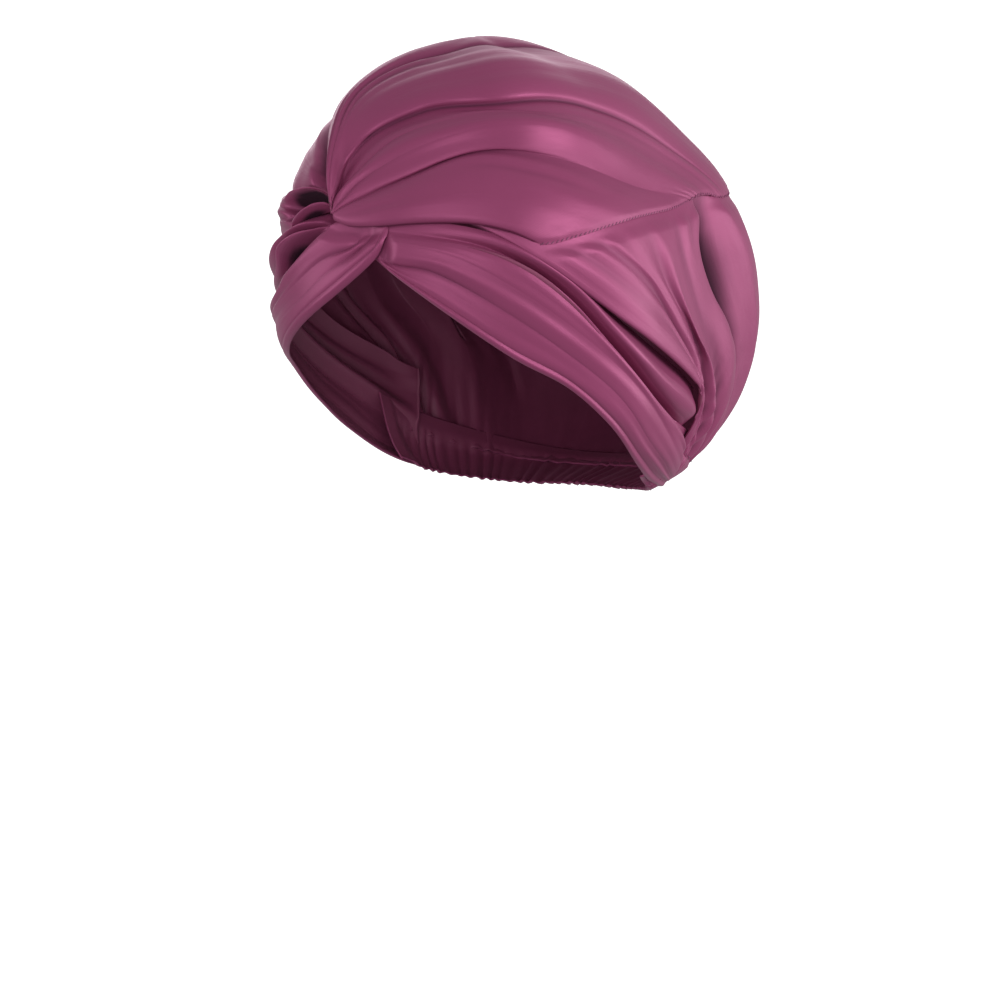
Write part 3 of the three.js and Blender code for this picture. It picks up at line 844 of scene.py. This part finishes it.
# %% Left crown
LEFT_CROWN = [
    # the edge over the brow, which becomes the seam behind the temple
    fold(
        [-5.5, 0, 8, 20, 33, 42, 47, 50],
        [23.6, 22.3, 22.2, 22.9, 22.8, 21.2, 19.4, 18],
        lift=[2.5, 2, 1.5, 1, 0.5, 0.3, 0, 0],
        puff=[0.5, 1.5, 2.2, 2.8, 2.8, 2.2, 1.4, 0.3],
    ),
    # the low valley
    fold(
        [-6, -2.5, 4, 15, 33, 58, 88, 116],
        [24.9, 27.8, 31.5, 36.5, 42.2, 41.3, 35, 27.8],
        lift=[2, 0.5, -1.2, -2.8, -3.6, -2.6, -0.8, 0],
        puff=[0.3, 1, 1.6, 1.4, 1, 0.6, 0.3, 0],
        peak=0.4,
        lap=[0, 0, 1, 3, 4, 2, 0, 0],
    ),
    # the ridge of the pleat above it
    fold(
        [-6.3, -4, 0, 12, 33, 62, 95, 122],
        [25.1, 28.8, 34, 41, 45.8, 46.8, 40.5, 28],
        lift=[2, 1, 1, 1, 2, 3, 1.5, 0],
        puff=[0.5, 2.5, 2.5, 0.6, 0, 0, 0, 0],
        peak=0.7,
        lap=[0, -3, -3, -1, 0, 0, 0, 0],
    ),
    # the petal's crease by the twist, which dies out into the cloth above the pleat
    fold(
        [-6.6, -6.6, -5, 5, 28, 62, 101, 130],
        [25.4, 28.5, 33, 45, 50.2, 51, 46, 27],
        lift=[2, -1, -1, 0, 0.5, 0.5, 0, 0],
        puff=[0.3, 0.5, 0.5, 0.4, 0.3, 0.3, 0.3, 0.2],
    ),
    # the high valley
    fold(
        [-6.7, -7.6, -9.2, -4, 13, 45, 100, 139],
        [26, 32.5, 40.5, 49, 54.8, 55.5, 54, 26.6],
        lift=[2, 0, -1.4, -2.2, -2.4, -2, -1, 0],
        puff=[0.3, 0.8, 1.5, 3, 4.2, 4.4, 3.5, 0.5],
        peak=0.3,
        lap=[0, 1, 2, 3, 4, 4, 2, 0],
    ),
    # the far valley
    fold(
        [-7, -9.6, -14, -22, -20, 8, 140, 165],
        [27, 34.5, 43.5, 57, 70, 80, 76, 26],
        lift=[3.2, 5.5, 5, 3, 1, 0.5, 0, 0.5],
        puff=[0.5, 1, 1.2, 2, 3, 3, 3, 0.5],
        peak=0.35,
        lap=[0, 0, 0, 1, 2, 1, 0, 0],
    ),
    # the parting, where it lies over the right crown
    fold(
        [-8.4, -13.2, -18.5, -30, -52, -110, -157, -162],
        [28.6, 35, 41.2, 51, 62, 68, 52, 26.2],
        lift=[2, 2, 2.5, 2.5, 2, 1.5, 1.6, 1],
    ),
]
LEFT_CROWN_SHAPE = lay_panel(
    LEFT_CROWN,
    strip=22,
    steps=210,
    seam=("end", [50, 116, 122, 130, 139, 165, 198], 0),
    rolled=("first", "start", "last"),
    ripples=(drag_lines(11, 0.4, 22, [0.1, 0.5, 1, 1, 0.7]), seam_puckers("end")),
)
left_crown = make_sheet("left_crown_cloth", LEFT_CROWN_SHAPE, "left_crown")

# %% [markdown]
# ## Right crown
# The right wrap's upper leg covers the other side of the head. It lies under the left crown at
# the parting, and by the twist it gathers into two strands with a dark pocket between them. A
# rope of its own for each strand would show where it ends, so strands and pocket are folds of the
# same sheet, some lifted and some sunk.

# %% Right crown
RIGHT_CROWN = [
    # the parting, under the left crown
    fold(
        [-6.7, -10.5, -16.5, -28.5, -50, -108, -160.5, -164.5],
        [28.3, 35, 42.5, 52, 63.5, 70.2, 53, 26.2],
        lift=[0, 0, 1, 1, 0, 0, 0, -0.3],
        puff=[0.5, 3, 6, 4, 3, 3, 3, 0.5],
        peak=0.65,
        lap=[0, -1, -2, -2, 0, 0, 0, 0],
    ),
    # the crease above the outer strand
    fold(
        [-7, -11.5, -17.5, -26, -36, -60, -92, -118],
        [27.8, 31.6, 32.2, 32, 32, 36.5, 36, 27.8],
        lift=[0, -2, -3, -2, 0, 0, -0.5, 0],
        puff=[0, 0.5, 0.5, 0.5, 1, 2, 2, 0.5],
    ),
    # the outer strand's crest
    fold(
        [-7, -11.5, -17.5, -25.5, -34, -57, -88, -112],
        [27.5, 30.9, 31, 29.9, 28.6, 32, 33.5, 27.5],
        lift=[0, 1.5, 4, 4.6, 3.5, 1.5, 0.8, 0],
        puff=[0, -4, -9, -8, 0, 0.3, 1, 0.2],
        peak=0.3,
    ),
    # the pocket under it, deep enough that painted shade darkens it to near black as well
    fold(
        [-7, -11.3, -17, -22.5, -30, -52, -84, -106],
        [27.2, 30, 29.6, 27.8, 25.6, 28, 31, 27.3],
        lift=[0, -6, -13, -12, 2.2, 1, 0, 0],
        puff=[0, 1.5, 3, 2.5, 0, 0.3, 1, 0.5],
        peak=0.65,
    ),
    # the crest of the next strand
    fold(
        [-6.8, -11, -16, -21.5, -26, -45, -65, -80],
        [26.9, 28, 26, 24, 22, 24, 25.5, 23.2],
        lift=[0, 2.5, 2.5, 1, 0, 0.2, 0.5, 0],
        puff=[0, 1, 2.5, 2, 0.3, 0, 0, 0],
    ),
    # the edge over the band's strands, which becomes the seam
    fold(
        [-6.5, -10, -15.2, -21.5, -27.5, -38, -45, -50],
        [26.6, 27.3, 25.2, 22.4, 20, 20, 19.5, 18],
        lift=[0, -2, -1.5, -1.5, -2, -2.5, -1.5, 0],
    ),
]
RIGHT_CROWN_SHAPE = lay_panel(
    RIGHT_CROWN,
    strip=20,
    steps=200,
    seam=("end", [195.5, 242, 258, 272, 290, 310], 0),
    tucked={"first": 1, "start": 1},
    rolled=("last",),
    ripples=(drag_lines(12, 0.45, 18, [0.1, 0.4, 1, 1, 0.7]), seam_puckers("end")),
)
right_crown = make_sheet("right_crown_cloth", RIGHT_CROWN_SHAPE, "right_crown")

# %% [markdown]
# ## Left band
# The left wrap's lower leg is the wide band that runs from the twist down past the ear. Its rim is
# a folded edge that rolls in and shows no hem. The band has a smooth lower part whose upper edge
# lies over a roll. `lap` pushes that edge over the crease beside it, so the crease falls in its
# own shadow, as it does under real cloth, and painted shade darkens it further.

# %% Left band
LEFT_BAND = [
    # the rim
    fold(
        [6.5, 14, 28, 44, 60, 77, 97, 114, 125, 134],
        [15.4, 10.2, 0.5, -10.2, -18.2, -28.8, -39.2, -43.4, -43.8, -43.2],
        lift=[0, 0, 0, 0, 0, 0, 0, 0.5, 1.5, 2.5],
        puff=[0.3, 0.6, 0.6, 0.6, 0.6, 0.6, 0.6, 0.6, 0.5, 0.3],
    ),
    # the hem line
    fold(
        [6.6, 13.8, 27.5, 43.5, 59.7, 76.8, 96.8, 113.7, 124.3, 133],
        [15.8, 11.4, 2.8, -7.6, -15.9, -26.6, -37.1, -41.4, -42, -41.6],
        lift=[0, -0.4, -0.4, -0.4, -0.4, -0.4, -0.4, 0, 1, 2.2],
        puff=[0.2, 0.8, 1, 0.8, 0.6, 0.6, 0.6, 0.6, 0.5, 0.3],
    ),
    # the crease that starts where the band comes out of the twist
    fold(
        [7, 13, 24, 39, 57, 75, 95, 112, 122, 130],
        [16.6, 13.6, 11.4, 3.5, -8, -19.5, -32, -37.5, -39.4, -40],
        lift=[0, -1.8, -1.2, 0.4, 1.5, 2.2, 2.5, 2.5, 2.5, 2.5],
        puff=[0.3, 1.2, 1.4, 0.7, 0.4, 0.3, 0.3, 0.3, 0.3, 0.2],
        peak=0.35,
        lap=[0, 1, 1, 0, 0, 0, 0, 0, 0, 0],
    ),
    # the broad ridge along the lower part
    fold(
        [7.3, 18, 31, 45.5, 60, 76, 96, 110, 118.5, 124.5],
        [19, 17.5, 14, 6.5, -3, -14, -26.5, -32.8, -35.2, -36.6],
        lift=[0, 0.5, 1.2, 2.5, 3.5, 4, 4, 4, 3.5, 3],
        lap=[0, 0, -1, -3, -4, -4, -4, -3, -1, 0],
    ),
    # the upper edge of the lower part, which lies over the roll
    fold(
        [7.6, 20, 35, 47, 57.5, 71, 89, 104, 112, 117.5],
        [21, 19.6, 17, 12, 4.6, -7.6, -20.3, -26.9, -29.6, -31.8],
        lift=[0, 0, 0.8, 2, 3, 3.8, 3.8, 3.8, 3.5, 3],
        lap=[0, 0, 1, 2, 2, 2, 2, 2, 1, 0],
    ),
    # the long crease under that edge
    fold(
        [7.8, 20.6, 36, 48, 58.3, 72, 90, 104.6, 113, 119],
        [21.4, 20.4, 17.8, 12.8, 5.5, -6.5, -19, -25.6, -28.4, -30.6],
        lift=[0, -0.5, -1.5, -3.5, -5, -6, -6, -6, -5, -4],
    ),
    # the upper roll, whose end turns in behind the ear
    fold(
        [7.9, 21, 36.5, 48.6, 59.5, 73.3, 91, 105.5, 115, 121],
        [22, 21.2, 18.7, 13.8, 6.8, -4.9, -17.2, -23.8, -26.5, -29],
        lift=[0, 0, 0.3, 0.5, 0.2, -0.2, -0.2, -0.2, -1, -4.2],
        puff=[0.2, 0.2, 0.3, 0.3, 0.4, 0.5, 0.5, 0.5, 0.3, 0],
    ),
    fold(
        [8, 21.5, 37, 49.2, 60.6, 74.6, 93, 108.5, 117.8, 123.5],
        [23, 22.4, 19.9, 15, 8, -3.2, -14.2, -19.6, -22.8, -25],
        lift=[0, 0.2, 0.8, 1.6, 2.2, 2.2, 2.2, 2.2, 1, -4.5],
        puff=[0.2, 0.3, 0.4, 0.4, 0.5, 0.5, 0.5, 0.5, 0.3, 0],
    ),
    fold(
        [8.5, 22, 38, 50, 62, 76.6, 95.5, 111.5, 119, 123.5],
        [24.5, 23.8, 21.1, 16.4, 9.9, 0.5, -8.6, -14.6, -17.6, -19],
        lift=[0, 0, -1, -2.8, -4.4, -5, -5, -4.6, -4.2, -4.4],
    ),
]
LEFT_BAND_SHAPE = lay_panel(
    LEFT_BAND,
    strip=18,
    steps=240,
    tucked={"start": 2, "last": 2},
    rolled=("first", "end"),
    ripples=(drag_lines(13, 0.3, 14, [0.3, 1, 1, 1, 0.5]),),
)
left_band = make_sheet("left_band_cloth", LEFT_BAND_SHAPE, "left_band")

# %% [markdown]
# ## Right band
# The right wrap's lower leg crosses the brow and turns up into the twist, so its rows begin with a
# short upright run there. Above its crisp upper edge two strands leave the twist and run back
# beside each other, with a hole under the edge where they part. It could be cut in three strips,
# but as one sheet it has no ends to hide.

# %% Right band
RIGHT_BAND = [
    # the rim
    fold(
        [11, 10.6, 7.5, -4, -19, -35, -58, -92, -114, -125, -134],
        [24.4, 19.5, 14, 5.8, -2, -9, -17.5, -36.5, -43.4, -43.8, -43.2],
        lift=[0, 1, 1, 1, 0.5, 0, 0, 0, 0.5, 1.5, 2.5],
        puff=[0.3, 0.8, 0.8, 0.6, 0.6, 0.5, 0.5, 0.5, 0.5, 0.5, 0.2],
    ),
    # the fold beside it
    fold(
        [9, 9, 6.6, -4.5, -19.5, -35, -58, -92, -113.7, -124.3, -133],
        [24.4, 19.8, 16, 8, 0, -7, -15.5, -34, -41.4, -42, -41.6],
        lift=[0, 0, 0.5, 1, 1, 1, 1, 1, 1, 1.5, 2.2],
        puff=[0.3, 1.2, 1.2, 0.8, 0.6, 0.5, 0.5, 0.5, 0.5, 0.3, 0.2],
    ),
    # the two creases where the band turns up under the crown
    fold(
        [6, 5.8, 2.6, -5.5, -18, -33, -57, -91, -111, -121, -128],
        [24.4, 20.8, 16.6, 11.5, 4, -2, -10.5, -30, -37.5, -39, -39.4],
        lift=[0, -2, -1.2, 1, 2, 2.5, 2.5, 3, 3, 3, 2.8],
        puff=[0.3, 1.5, 1.4, 0.4, 0, 0, 0, 0, 0, 0, 0],
    ),
    fold(
        [3.2, 3.2, 0.6, -7.5, -18.8, -32.5, -56.5, -90, -109, -118, -127],
        [24.4, 20.8, 17.3, 14.2, 7.8, 2, -5, -25, -33, -35.6, -37.5],
        lift=[0, -1.5, -0.8, 1, 2.5, 3, 3, 3.5, 3.5, 3.2, 3],
        puff=[0.3, 1.5, 1.6, 1.2, 0.8, 0.5, 0.5, 0.3, 0.2, 0, 0],
        lap=[0, 0, -1, -3, -4, -4, -2, -2, -1, 0, 0],
    ),
    # its crisp upper edge, which hangs over the strands
    fold(
        [-3, -5, -8.2, -14.5, -21.5, -30, -54, -88, -105, -114, -126],
        [24.2, 23.2, 20.7, 15.8, 10.8, 6, -2, -20.5, -27.4, -30.2, -33.5],
        lift=[1, 1.5, 1.5, 1.5, 1.5, 2.5, 3, 3.5, 3.5, 2.5, -3],
        puff=[0, -1, -3, -5, -5, -1, 0, 0, 0, 0, 0],
        peak=0.35,
        lap=[0, 0, 1, 1, 1, 1, 1, 1, 1, 0, 0],
    ),
    # the hole under that edge, deep enough that painted shade darkens it to near black as well
    fold(
        [-4, -6.5, -10.5, -16, -23, -31, -54, -88, -106, -115, -126.5],
        [24.6, 23.4, 21.4, 18.6, 14.8, 9.2, 0.5, -18.5, -25.4, -28.3, -32],
        lift=[0, -1, -2, -8, -13, -6, -2.5, -3.5, -3.5, -3, -4],
        puff=[0, 0, 0.5, 1, 1, 0.5, 0, 0, 0, 0, 0],
    ),
    # the inner strand, which curls round the hole
    fold(
        [-5, -7.5, -12, -18, -24, -31.5, -54, -88.5, -108, -117, -127],
        [25, 23.5, 21.8, 19.7, 16.3, 11, 3.5, -15.5, -22.5, -25.5, -29],
        lift=[-1, -2, 0.5, 4, 5, 2, 1, 1, 1, 0, -4.5],
        puff=[0, 0, 0, 0.5, 0.8, 0.6, 0, 0, 0, 0, 0],
    ),
    fold(
        [-5.6, -8.2, -12.5, -18.5, -26, -34, -54.5, -89, -109, -118, -127.3],
        [25.4, 24, 22.6, 21, 18, 13.2, 6, -12.5, -19.5, -22.5, -26],
        lift=[-1, -4, -3, 0, 1, 0, 0, 0, 0, 0, -4.5],
        puff=[0, 0, 0, 0.5, 1, 1, 0, 0, 0, 0, 0],
    ),
    # the outer strand
    fold(
        [-6, -8.4, -12, -18, -27, -36, -55, -89.5, -110, -118.5, -127.5],
        [26, 25.2, 24, 22.3, 19.3, 16, 8.5, -9.5, -16.5, -19, -22],
        lift=[-1, -6, 0, 4.5, 5, 3.5, 2, 1.5, 1.5, 0.5, -4.5],
        puff=[0, 0, 0.5, 0.8, 0.8, 0.5, 0, 0, 0, 0, 0],
    ),
    fold(
        [-6.5, -8.8, -12, -17.5, -25, -37, -58, -90, -112, -119.5, -127.5],
        [27.4, 28.2, 28.2, 26.6, 23.8, 22, 12.5, -5, -13, -16, -18],
        lift=[-1, -6, -5, -4, -3.5, -3.5, -3, -3, -3, -3, -4],
    ),
]
RIGHT_BAND_SHAPE = lay_panel(
    RIGHT_BAND,
    strip=14,
    steps=260,
    tucked={"start": 1, "last": 2},
    rolled=("first", "end"),
    ripples=(drag_lines(14, 0.3, 14, [0.1, 0.6, 1, 1, 0.5]),),
)
right_band = make_sheet("right_band_cloth", RIGHT_BAND_SHAPE, "right_band")

# %% [markdown]
# ## Back panel
# One wide panel goes round the back of the head from ear to ear. It is sewn to the crowns along
# its top and drawn together by the elastic at the nape, so its folds start soft at the seam and
# end close and sharp. The table holds one side and the middle fold. The other side is a mirror of
# it with shallower deep folds, because no two sides of worn cloth fall alike.

# %% Back panel, one side
BACK_SIDE = [
    # its front edge lies over the band and turns down at a corner behind the ear
    fold(
        [30, 41, 54, 74, 98, 111, 117, 119.3, 120.7, 123.5],
        [22.5, 18, 11.2, -0.3, -11.1, -16.2, -18.8, -22.5, -27.5, -34.5],
        lift=[-3.5, -0.5, 1, 2, 2.5, 2.5, 2.5, 2, 1, -0.5],
        puff=[0, 0.3, 0.6, 0.8, 0.8, 0.8, 0.8, 0.8, 0.5, 0],
    ),
    fold(
        [56, 62, 70, 82, 91, 99, 109, 117.5, 122.5, 126.5],
        [20.5, 19.3, 16.5, 10, 3.5, -3, -10.5, -17.5, -25, -34.5],
        lift=[0, 0, 0, -0.3, -0.5, -0.5, 0, 1.5, 0.5, -0.5],
    ),
    # a long soft ridge
    fold(
        [72, 76, 81, 88.5, 96, 104, 112.5, 119, 124, 129],
        [24, 20.5, 15.5, 9.5, 3.2, -4, -11, -18, -25.5, -34.5],
        lift=[0, 0.3, 0.6, 1, 1.2, 1.2, 1, 1, 0.5, 0],
    ),
    fold(
        [84, 86.5, 89.5, 94, 100, 107.5, 115.5, 121, 126, 131.5],
        [27, 22.5, 16.8, 9.8, 3.6, -2.5, -9.5, -17, -25.5, -34.5],
        lift=[0, 0, -0.3, -0.5, -0.8, -1.2, -2, -2.5, -2, -0.5],
    ),
    fold(
        [91, 92, 94.5, 98, 103, 110.5, 119, 124.5, 129.5, 134.5],
        [28, 23, 16.8, 9.8, 2.6, -5, -12, -19, -26, -34.5],
        lift=[0, 0.3, 0.6, 0.8, 1, 1.2, 2, 2.5, 2, 0.5],
    ),
    fold(
        [103, 103.5, 105, 108.5, 113.5, 119.5, 126, 131, 135, 138.5],
        [29, 23, 16.5, 9.5, 2, -5, -12.5, -19.5, -26.5, -34.5],
        lift=[0, 0, -1, -2, -2.5, -2.5, -2, -2, -1.5, -0.5],
        puff=[0, 0, 0.5, 0.8, 0.8, 0.8, 0.5, 0.5, 0, 0],
        lap=[0, 0, -2, -3, -3, -2, -1, 0, 0, 0],
    ),
    # the crest before the deep fold
    fold(
        [119, 117, 115.5, 118.5, 123.5, 130, 134, 136.5, 138.5, 141.5],
        [30, 24, 17, 10.5, 4, -2.5, -8.5, -16, -24.5, -34.5],
        lift=[0, -1, -3, -4.5, -4.5, -2, 0.5, 1.5, 1.5, 0.5],
        lap=[0, 0, 2, 3, 3, 2, 1, 0, 0, 0],
    ),
    # the deep fold, deep enough that painted shade darkens it to near black as well
    fold(
        [125, 125, 127.5, 131.5, 135.5, 139.5, 143, 145, 146, 148],
        [30, 24, 16.5, 10, 3.5, -3, -9.5, -17, -25.5, -34.5],
        lift=[-2, -10, -17, -19, -17, -13, -9, -6, -3, -0.5],
        lap=[0, 1, 6, 9, 9, 6, 3, 1, 0, 0],
    ),
    fold(
        [134, 134.5, 137, 140.5, 144, 148, 151.5, 154, 155, 156],
        [29.5, 23.5, 16.5, 10, 3.5, -3, -10, -18, -26, -34.5],
        lift=[0, 0.5, 1.5, 2, 2, 2.5, 2.5, 2, 1, 0.5],
        puff=[0, 0, 0.5, 0.5, 0.5, 0.5, 0.5, 0, 0, 0],
    ),
    fold(
        [156, 156, 157, 158.5, 160, 162.5, 164.5, 166, 166.5, 167],
        [28, 22, 15.5, 9, 2.5, -4, -11, -18.5, -26, -34.5],
        lift=[0, -0.5, -1.5, -2, -2, -1.5, -1.2, -1, -0.5, 0],
    ),
    fold(
        [180] * 10,
        [26.5, 21, 15, 8.5, 2, -5, -11.5, -19, -26.5, -34.5],
        lift=[0, 1, 2, 2.5, 2.5, 2.5, 2, 1.5, 1, 0.5],
    ),
]
print("folds on one side and in the middle:", len(BACK_SIDE))

# %% The other side, and the elastic gathers
# where the folds start on the seam, as azimuths
BACK_TOPS = [30, 56, 72, 84, 91, 103, 119, 125, 134, 156, 180]
# a mirrored fold that goes deeper than this, in millimetres, keeps this share of the rest
SHALLOW_FROM = -2
SHALLOW_SHARE = 0.35
# in millimetres: the cloth's length at the nape for each degree, and the usual gather's width
NAPE_DEGREE = 1.95
GATHER_SPACING = 6.5


def with_mirror(side):
    """The folds of one side, the middle one, then the same folds on the other side, shallower."""
    mirrored = []
    for index in range(len(side) - 2, -1, -1):
        row = dict(side[index])
        before = side[max(index - 1, 0)]
        row["towards"] = row["towards"] * np.array([-1, 1, 1])
        row.update(puff=before["puff"], lap=-before["lap"], peak=1 - before["peak"])
        shallow = SHALLOW_FROM + SHALLOW_SHARE * (row["lift"] - SHALLOW_FROM)
        row["lift"] = np.where(row["lift"] < SHALLOW_FROM, shallow, row["lift"])
        mirrored.append(row)
    return side + mirrored


def elastic_gathers(height, fade):
    """Small upright folds that the elastic draws in the cloth beside the nape."""

    def ripple(across, along, flat):
        turn = np.degrees(np.arctan2(flat[..., 0], -flat[..., 1])) % 360 - 180
        phase = turn * NAPE_DEGREE + 0.9 * np.sin(turn * 0.23) + 0.7 * np.sin(turn * 0.61 + 1)
        uneven = 0.7 + 0.3 * np.sin(turn * 0.37 + 2)
        wave = np.cos(2 * math.pi * phase / GATHER_SPACING) * uneven
        return height * wave * np.interp(along, np.linspace(0, 1, len(fade)), fade)

    return ripple


print("gathers in a quarter turn of the nape:", round(90 * NAPE_DEGREE / GATHER_SPACING))

# %% Back panel
BACK_SHAPE = lay_panel(
    with_mirror(BACK_SIDE),
    strip=11,
    steps=140,
    seam=("start", BACK_TOPS + [360 - a for a in BACK_TOPS[-2::-1]], 3.5),
    tucked={"start": 1},
    rolled=("first", "last"),
    ripples=(
        drag_lines(15, 0.45, 26, [0.5, 1, 1, 1, 0.4]),
        elastic_gathers(0.8, [0, 0, 0, 0, 0.15, 0.6, 1]),
        seam_puckers("start"),
    ),
)
back_panel = make_sheet("back_panel_cloth", BACK_SHAPE, "back_panel")

# %% [markdown]
# ## Nape casing
# At the nape the edge is turned up into a casing for the elastic. The elastic is inside, out of
# sight, and what shows is a narrow strip of satin in small even gathers. A row for each gather
# would be a long table that says little, so two rows give the strip and one ripple gathers it.

# %% Nape casing
NAPE_CASING = [
    # the lower edge
    fold([116, 150, 180, 210, 244], [-44.6, -45, -45.3, -45, -44.6], puff=2),
    # the upper edge, inside the back panel
    fold(
        [108, 150, 180, 210, 252],
        [-26.5, -29.5, -30, -29.5, -26.5],
        lift=[-2, -0.5, 0, -0.5, -2],
    ),
]
NAPE_CASING_SHAPE = lay_panel(
    NAPE_CASING,
    strip=24,
    steps=320,
    tucked={"start": 2, "end": 2, "last": 1},
    rolled=("first",),
    ripples=(elastic_gathers(0.7, [1, 1]),),
)
nape_casing = make_sheet("nape_casing_cloth", NAPE_CASING_SHAPE, "nape_casing")

# %% [markdown]
# ## Sewing thread
# The thread is polyester, dyed a shade darker than the satin. It is two strands twisted together,
# duller than satin, so it needs a rougher gloss and a slanted bump and no more: a stitch is so
# small that anything finer would not show.


# %% Twisted polyester thread
# patches of shade 2.5 mm across
PATCHES_PER_METRE = 400.0
# the twist's bands are 0.35 mm apart
TWIST_SCALE = 900.0


def sewing_thread(name, light, dark):
    """A thread in two close shades, duller than the satin, with its twist as a bump."""
    material = bpy.data.materials.new(name)
    material.use_nodes = True
    tree = material.node_tree
    shader = tree.nodes["Principled BSDF"]
    place = add_node(material, "ShaderNodeTexCoord").outputs["Object"]
    patchy = add_node(
        material,
        "ShaderNodeTexNoise",
        inputs={"Vector": place, "Scale": PATCHES_PER_METRE, "Detail": 1.0},
    ).outputs["Fac"]
    tint = add_node(
        material,
        "ShaderNodeMix",
        {"data_type": "RGBA"},
        {"Factor": patchy, "A": linear(light), "B": linear(dark)},
    ).outputs["Result"]
    tree.links.new(tint, shader.inputs["Base Color"])
    twist = add_node(
        material,
        "ShaderNodeTexWave",
        {"bands_direction": "DIAGONAL"},
        {"Vector": place, "Scale": TWIST_SCALE},
    ).outputs["Fac"]
    bump = add_node(
        material, "ShaderNodeBump", inputs={"Height": twist, "Strength": 0.3, "Distance": 0.0001}
    ).outputs["Normal"]
    tree.links.new(bump, shader.inputs["Normal"])
    shader.inputs["Roughness"].default_value = 0.55
    return material


thread = sewing_thread("mauve_sewing_thread", "#66294b", "#76355a")
print("thread nodes:", len(thread.node_tree.nodes))

# %% [markdown]
# ## Stitches
# The crown is sewn to the back with a row of small slanted stitches, and the casing has a row
# beside its lower edge, with another above it in the back panel. One stitch is a small round bead
# drawn out long and sunk halfway in the cloth, set again and again along a line that runs beside
# a panel's side. A dashed line in the material would be cheaper, but real beads catch the light.

# %% A line beside a panel's side
# in millimetres: how far past and short of the line the cloth's slope is read
SLOPE_PAST = 2
SLOPE_SHORT = 1


def line_beside(points, side, inset):
    """A line inset millimetres in from a panel's side, with the direction out of the cloth."""
    turned = {
        "start": points,
        "end": points[:, ::-1],
        "first": points.transpose(1, 0, 2),
        "last": points[::-1].transpose(1, 0, 2),
    }[side]
    gaps = np.linalg.norm(np.diff(turned, axis=1), axis=-1)
    away = np.concatenate([np.zeros((len(turned), 1)), np.cumsum(gaps, axis=1)], axis=1)

    def at(distance):
        """The point of each row that lies so far in from the side."""
        found = []
        for row, far in zip(turned, away):
            found.append([np.interp(distance, far, row[:, k]) for k in range(3)])
        return np.array(found)

    line = at(inset)
    inwards = at(inset + SLOPE_PAST) - at(max(inset - SLOPE_SHORT, 0))
    outwards = np.cross(np.gradient(line, axis=0), inwards)
    facing = np.sign((outwards * (line - FORM_CENTRE)).sum(axis=-1, keepdims=True))
    return line, unit(outwards * facing)


seam_line = line_beside(LEFT_CROWN_SHAPE[0], "end", 0.9)[0]
seam_length = np.linalg.norm(np.diff(seam_line, axis=0), axis=-1).sum()
print("the left crown's seam in mm:", seam_length.round())

# %% Where the stitches of a row go
# in millimetres; a real thread is about half as thick, too fine to show
STITCH_LENGTH = 2.1
STITCH_THICKNESS = 0.5
LOOK_AHEAD = 0.8


def stitch_row(line, outwards, spacing, lean=0):
    """Where each stitch of a row goes: a matrix that stretches, turns and moves a round bead."""
    run = np.concatenate([[0], np.cumsum(np.linalg.norm(np.diff(line, axis=0), axis=-1))])
    places = np.arange(spacing, run[-1] - spacing, spacing)
    at = np.stack([np.interp(places, run, line[:, k]) for k in range(3)], axis=-1)
    further = np.stack([np.interp(places + LOOK_AHEAD, run, line[:, k]) for k in range(3)], axis=-1)
    ups = unit(np.stack([np.interp(places, run, outwards[:, k]) for k in range(3)], axis=-1))
    width = STITCH_THICKNESS * MM
    stretch = Matrix.Diagonal((STITCH_LENGTH * MM, width, width, 1))
    matrices = []
    for place, forward, up in zip(at, further - at, ups):
        up = Vector(up)
        side = up.cross(Vector(forward)).normalized()
        turn = Matrix((side.cross(up), side, up)).transposed().to_4x4()
        leaning = Matrix.Rotation(math.radians(lean), 4, "Z")
        matrices.append(Matrix.Translation(Vector(place * MM)) @ turn @ leaning @ stretch)
    return matrices


seam_rows = []
for panel in (LEFT_CROWN_SHAPE, RIGHT_CROWN_SHAPE):
    seam_rows.append(stitch_row(*line_beside(panel[0], "end", 0.9), spacing=2.3, lean=32))
casing_rows = [stitch_row(*line_beside(NAPE_CASING_SHAPE[0], "first", 2.4), spacing=2.8)]
back_rows = [stitch_row(*line_beside(BACK_SHAPE[0], "end", 1.6), spacing=2.8)]
print("stitches in the crown's seam:", sum(len(row) for row in seam_rows))

# %% Beads for stitches
# a slanted direction, along which no two corners or faces of a bead lie equally far
ASLANT = Vector((2.6, 1.6, 1.0))


def round_bead():
    """A bead one metre across, which every stitch is a stretched copy of."""
    bm = bmesh.new()
    bmesh.ops.create_uvsphere(bm, u_segments=8, v_segments=6, radius=0.5)
    # the sphere's corners and faces come in a new order each run, so they are put in a fixed one
    bm.verts.sort(key=lambda vert: vert.co.dot(ASLANT))
    bm.faces.sort(key=lambda face: face.calc_center_median().dot(ASLANT))
    for face in bm.faces:
        face.smooth = True
    mesh = bpy.data.meshes.new("round_bead")
    bm.to_mesh(mesh)
    bm.free()
    return mesh


def make_stitches(name, rows):
    """One mesh for all the stitches of a part, each a small bead sunk halfway in the cloth."""
    bead = round_bead()
    bm = bmesh.new()
    for matrix in [matrix for row in rows for matrix in row]:
        stitch = bead.copy()
        stitch.transform(matrix)
        bm.from_mesh(stitch)
        bpy.data.meshes.remove(stitch)
    bpy.data.meshes.remove(bead)
    mesh = bpy.data.meshes.new(name)
    bm.to_mesh(mesh)
    bm.free()
    mesh.materials.append(thread)
    stitches = bpy.data.objects.new(name, mesh)
    bpy.context.collection.objects.link(stitches)
    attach(stitches, "root")
    print(f"{name}: {sum(len(row) for row in rows)} stitches, {len(mesh.polygons)} faces")
    return stitches


crown_stitches = make_stitches("crown_seam_stitches", seam_rows)
casing_stitches = make_stitches("nape_casing_stitches", casing_rows)
back_stitches = make_stitches("back_panel_stitches", back_rows)
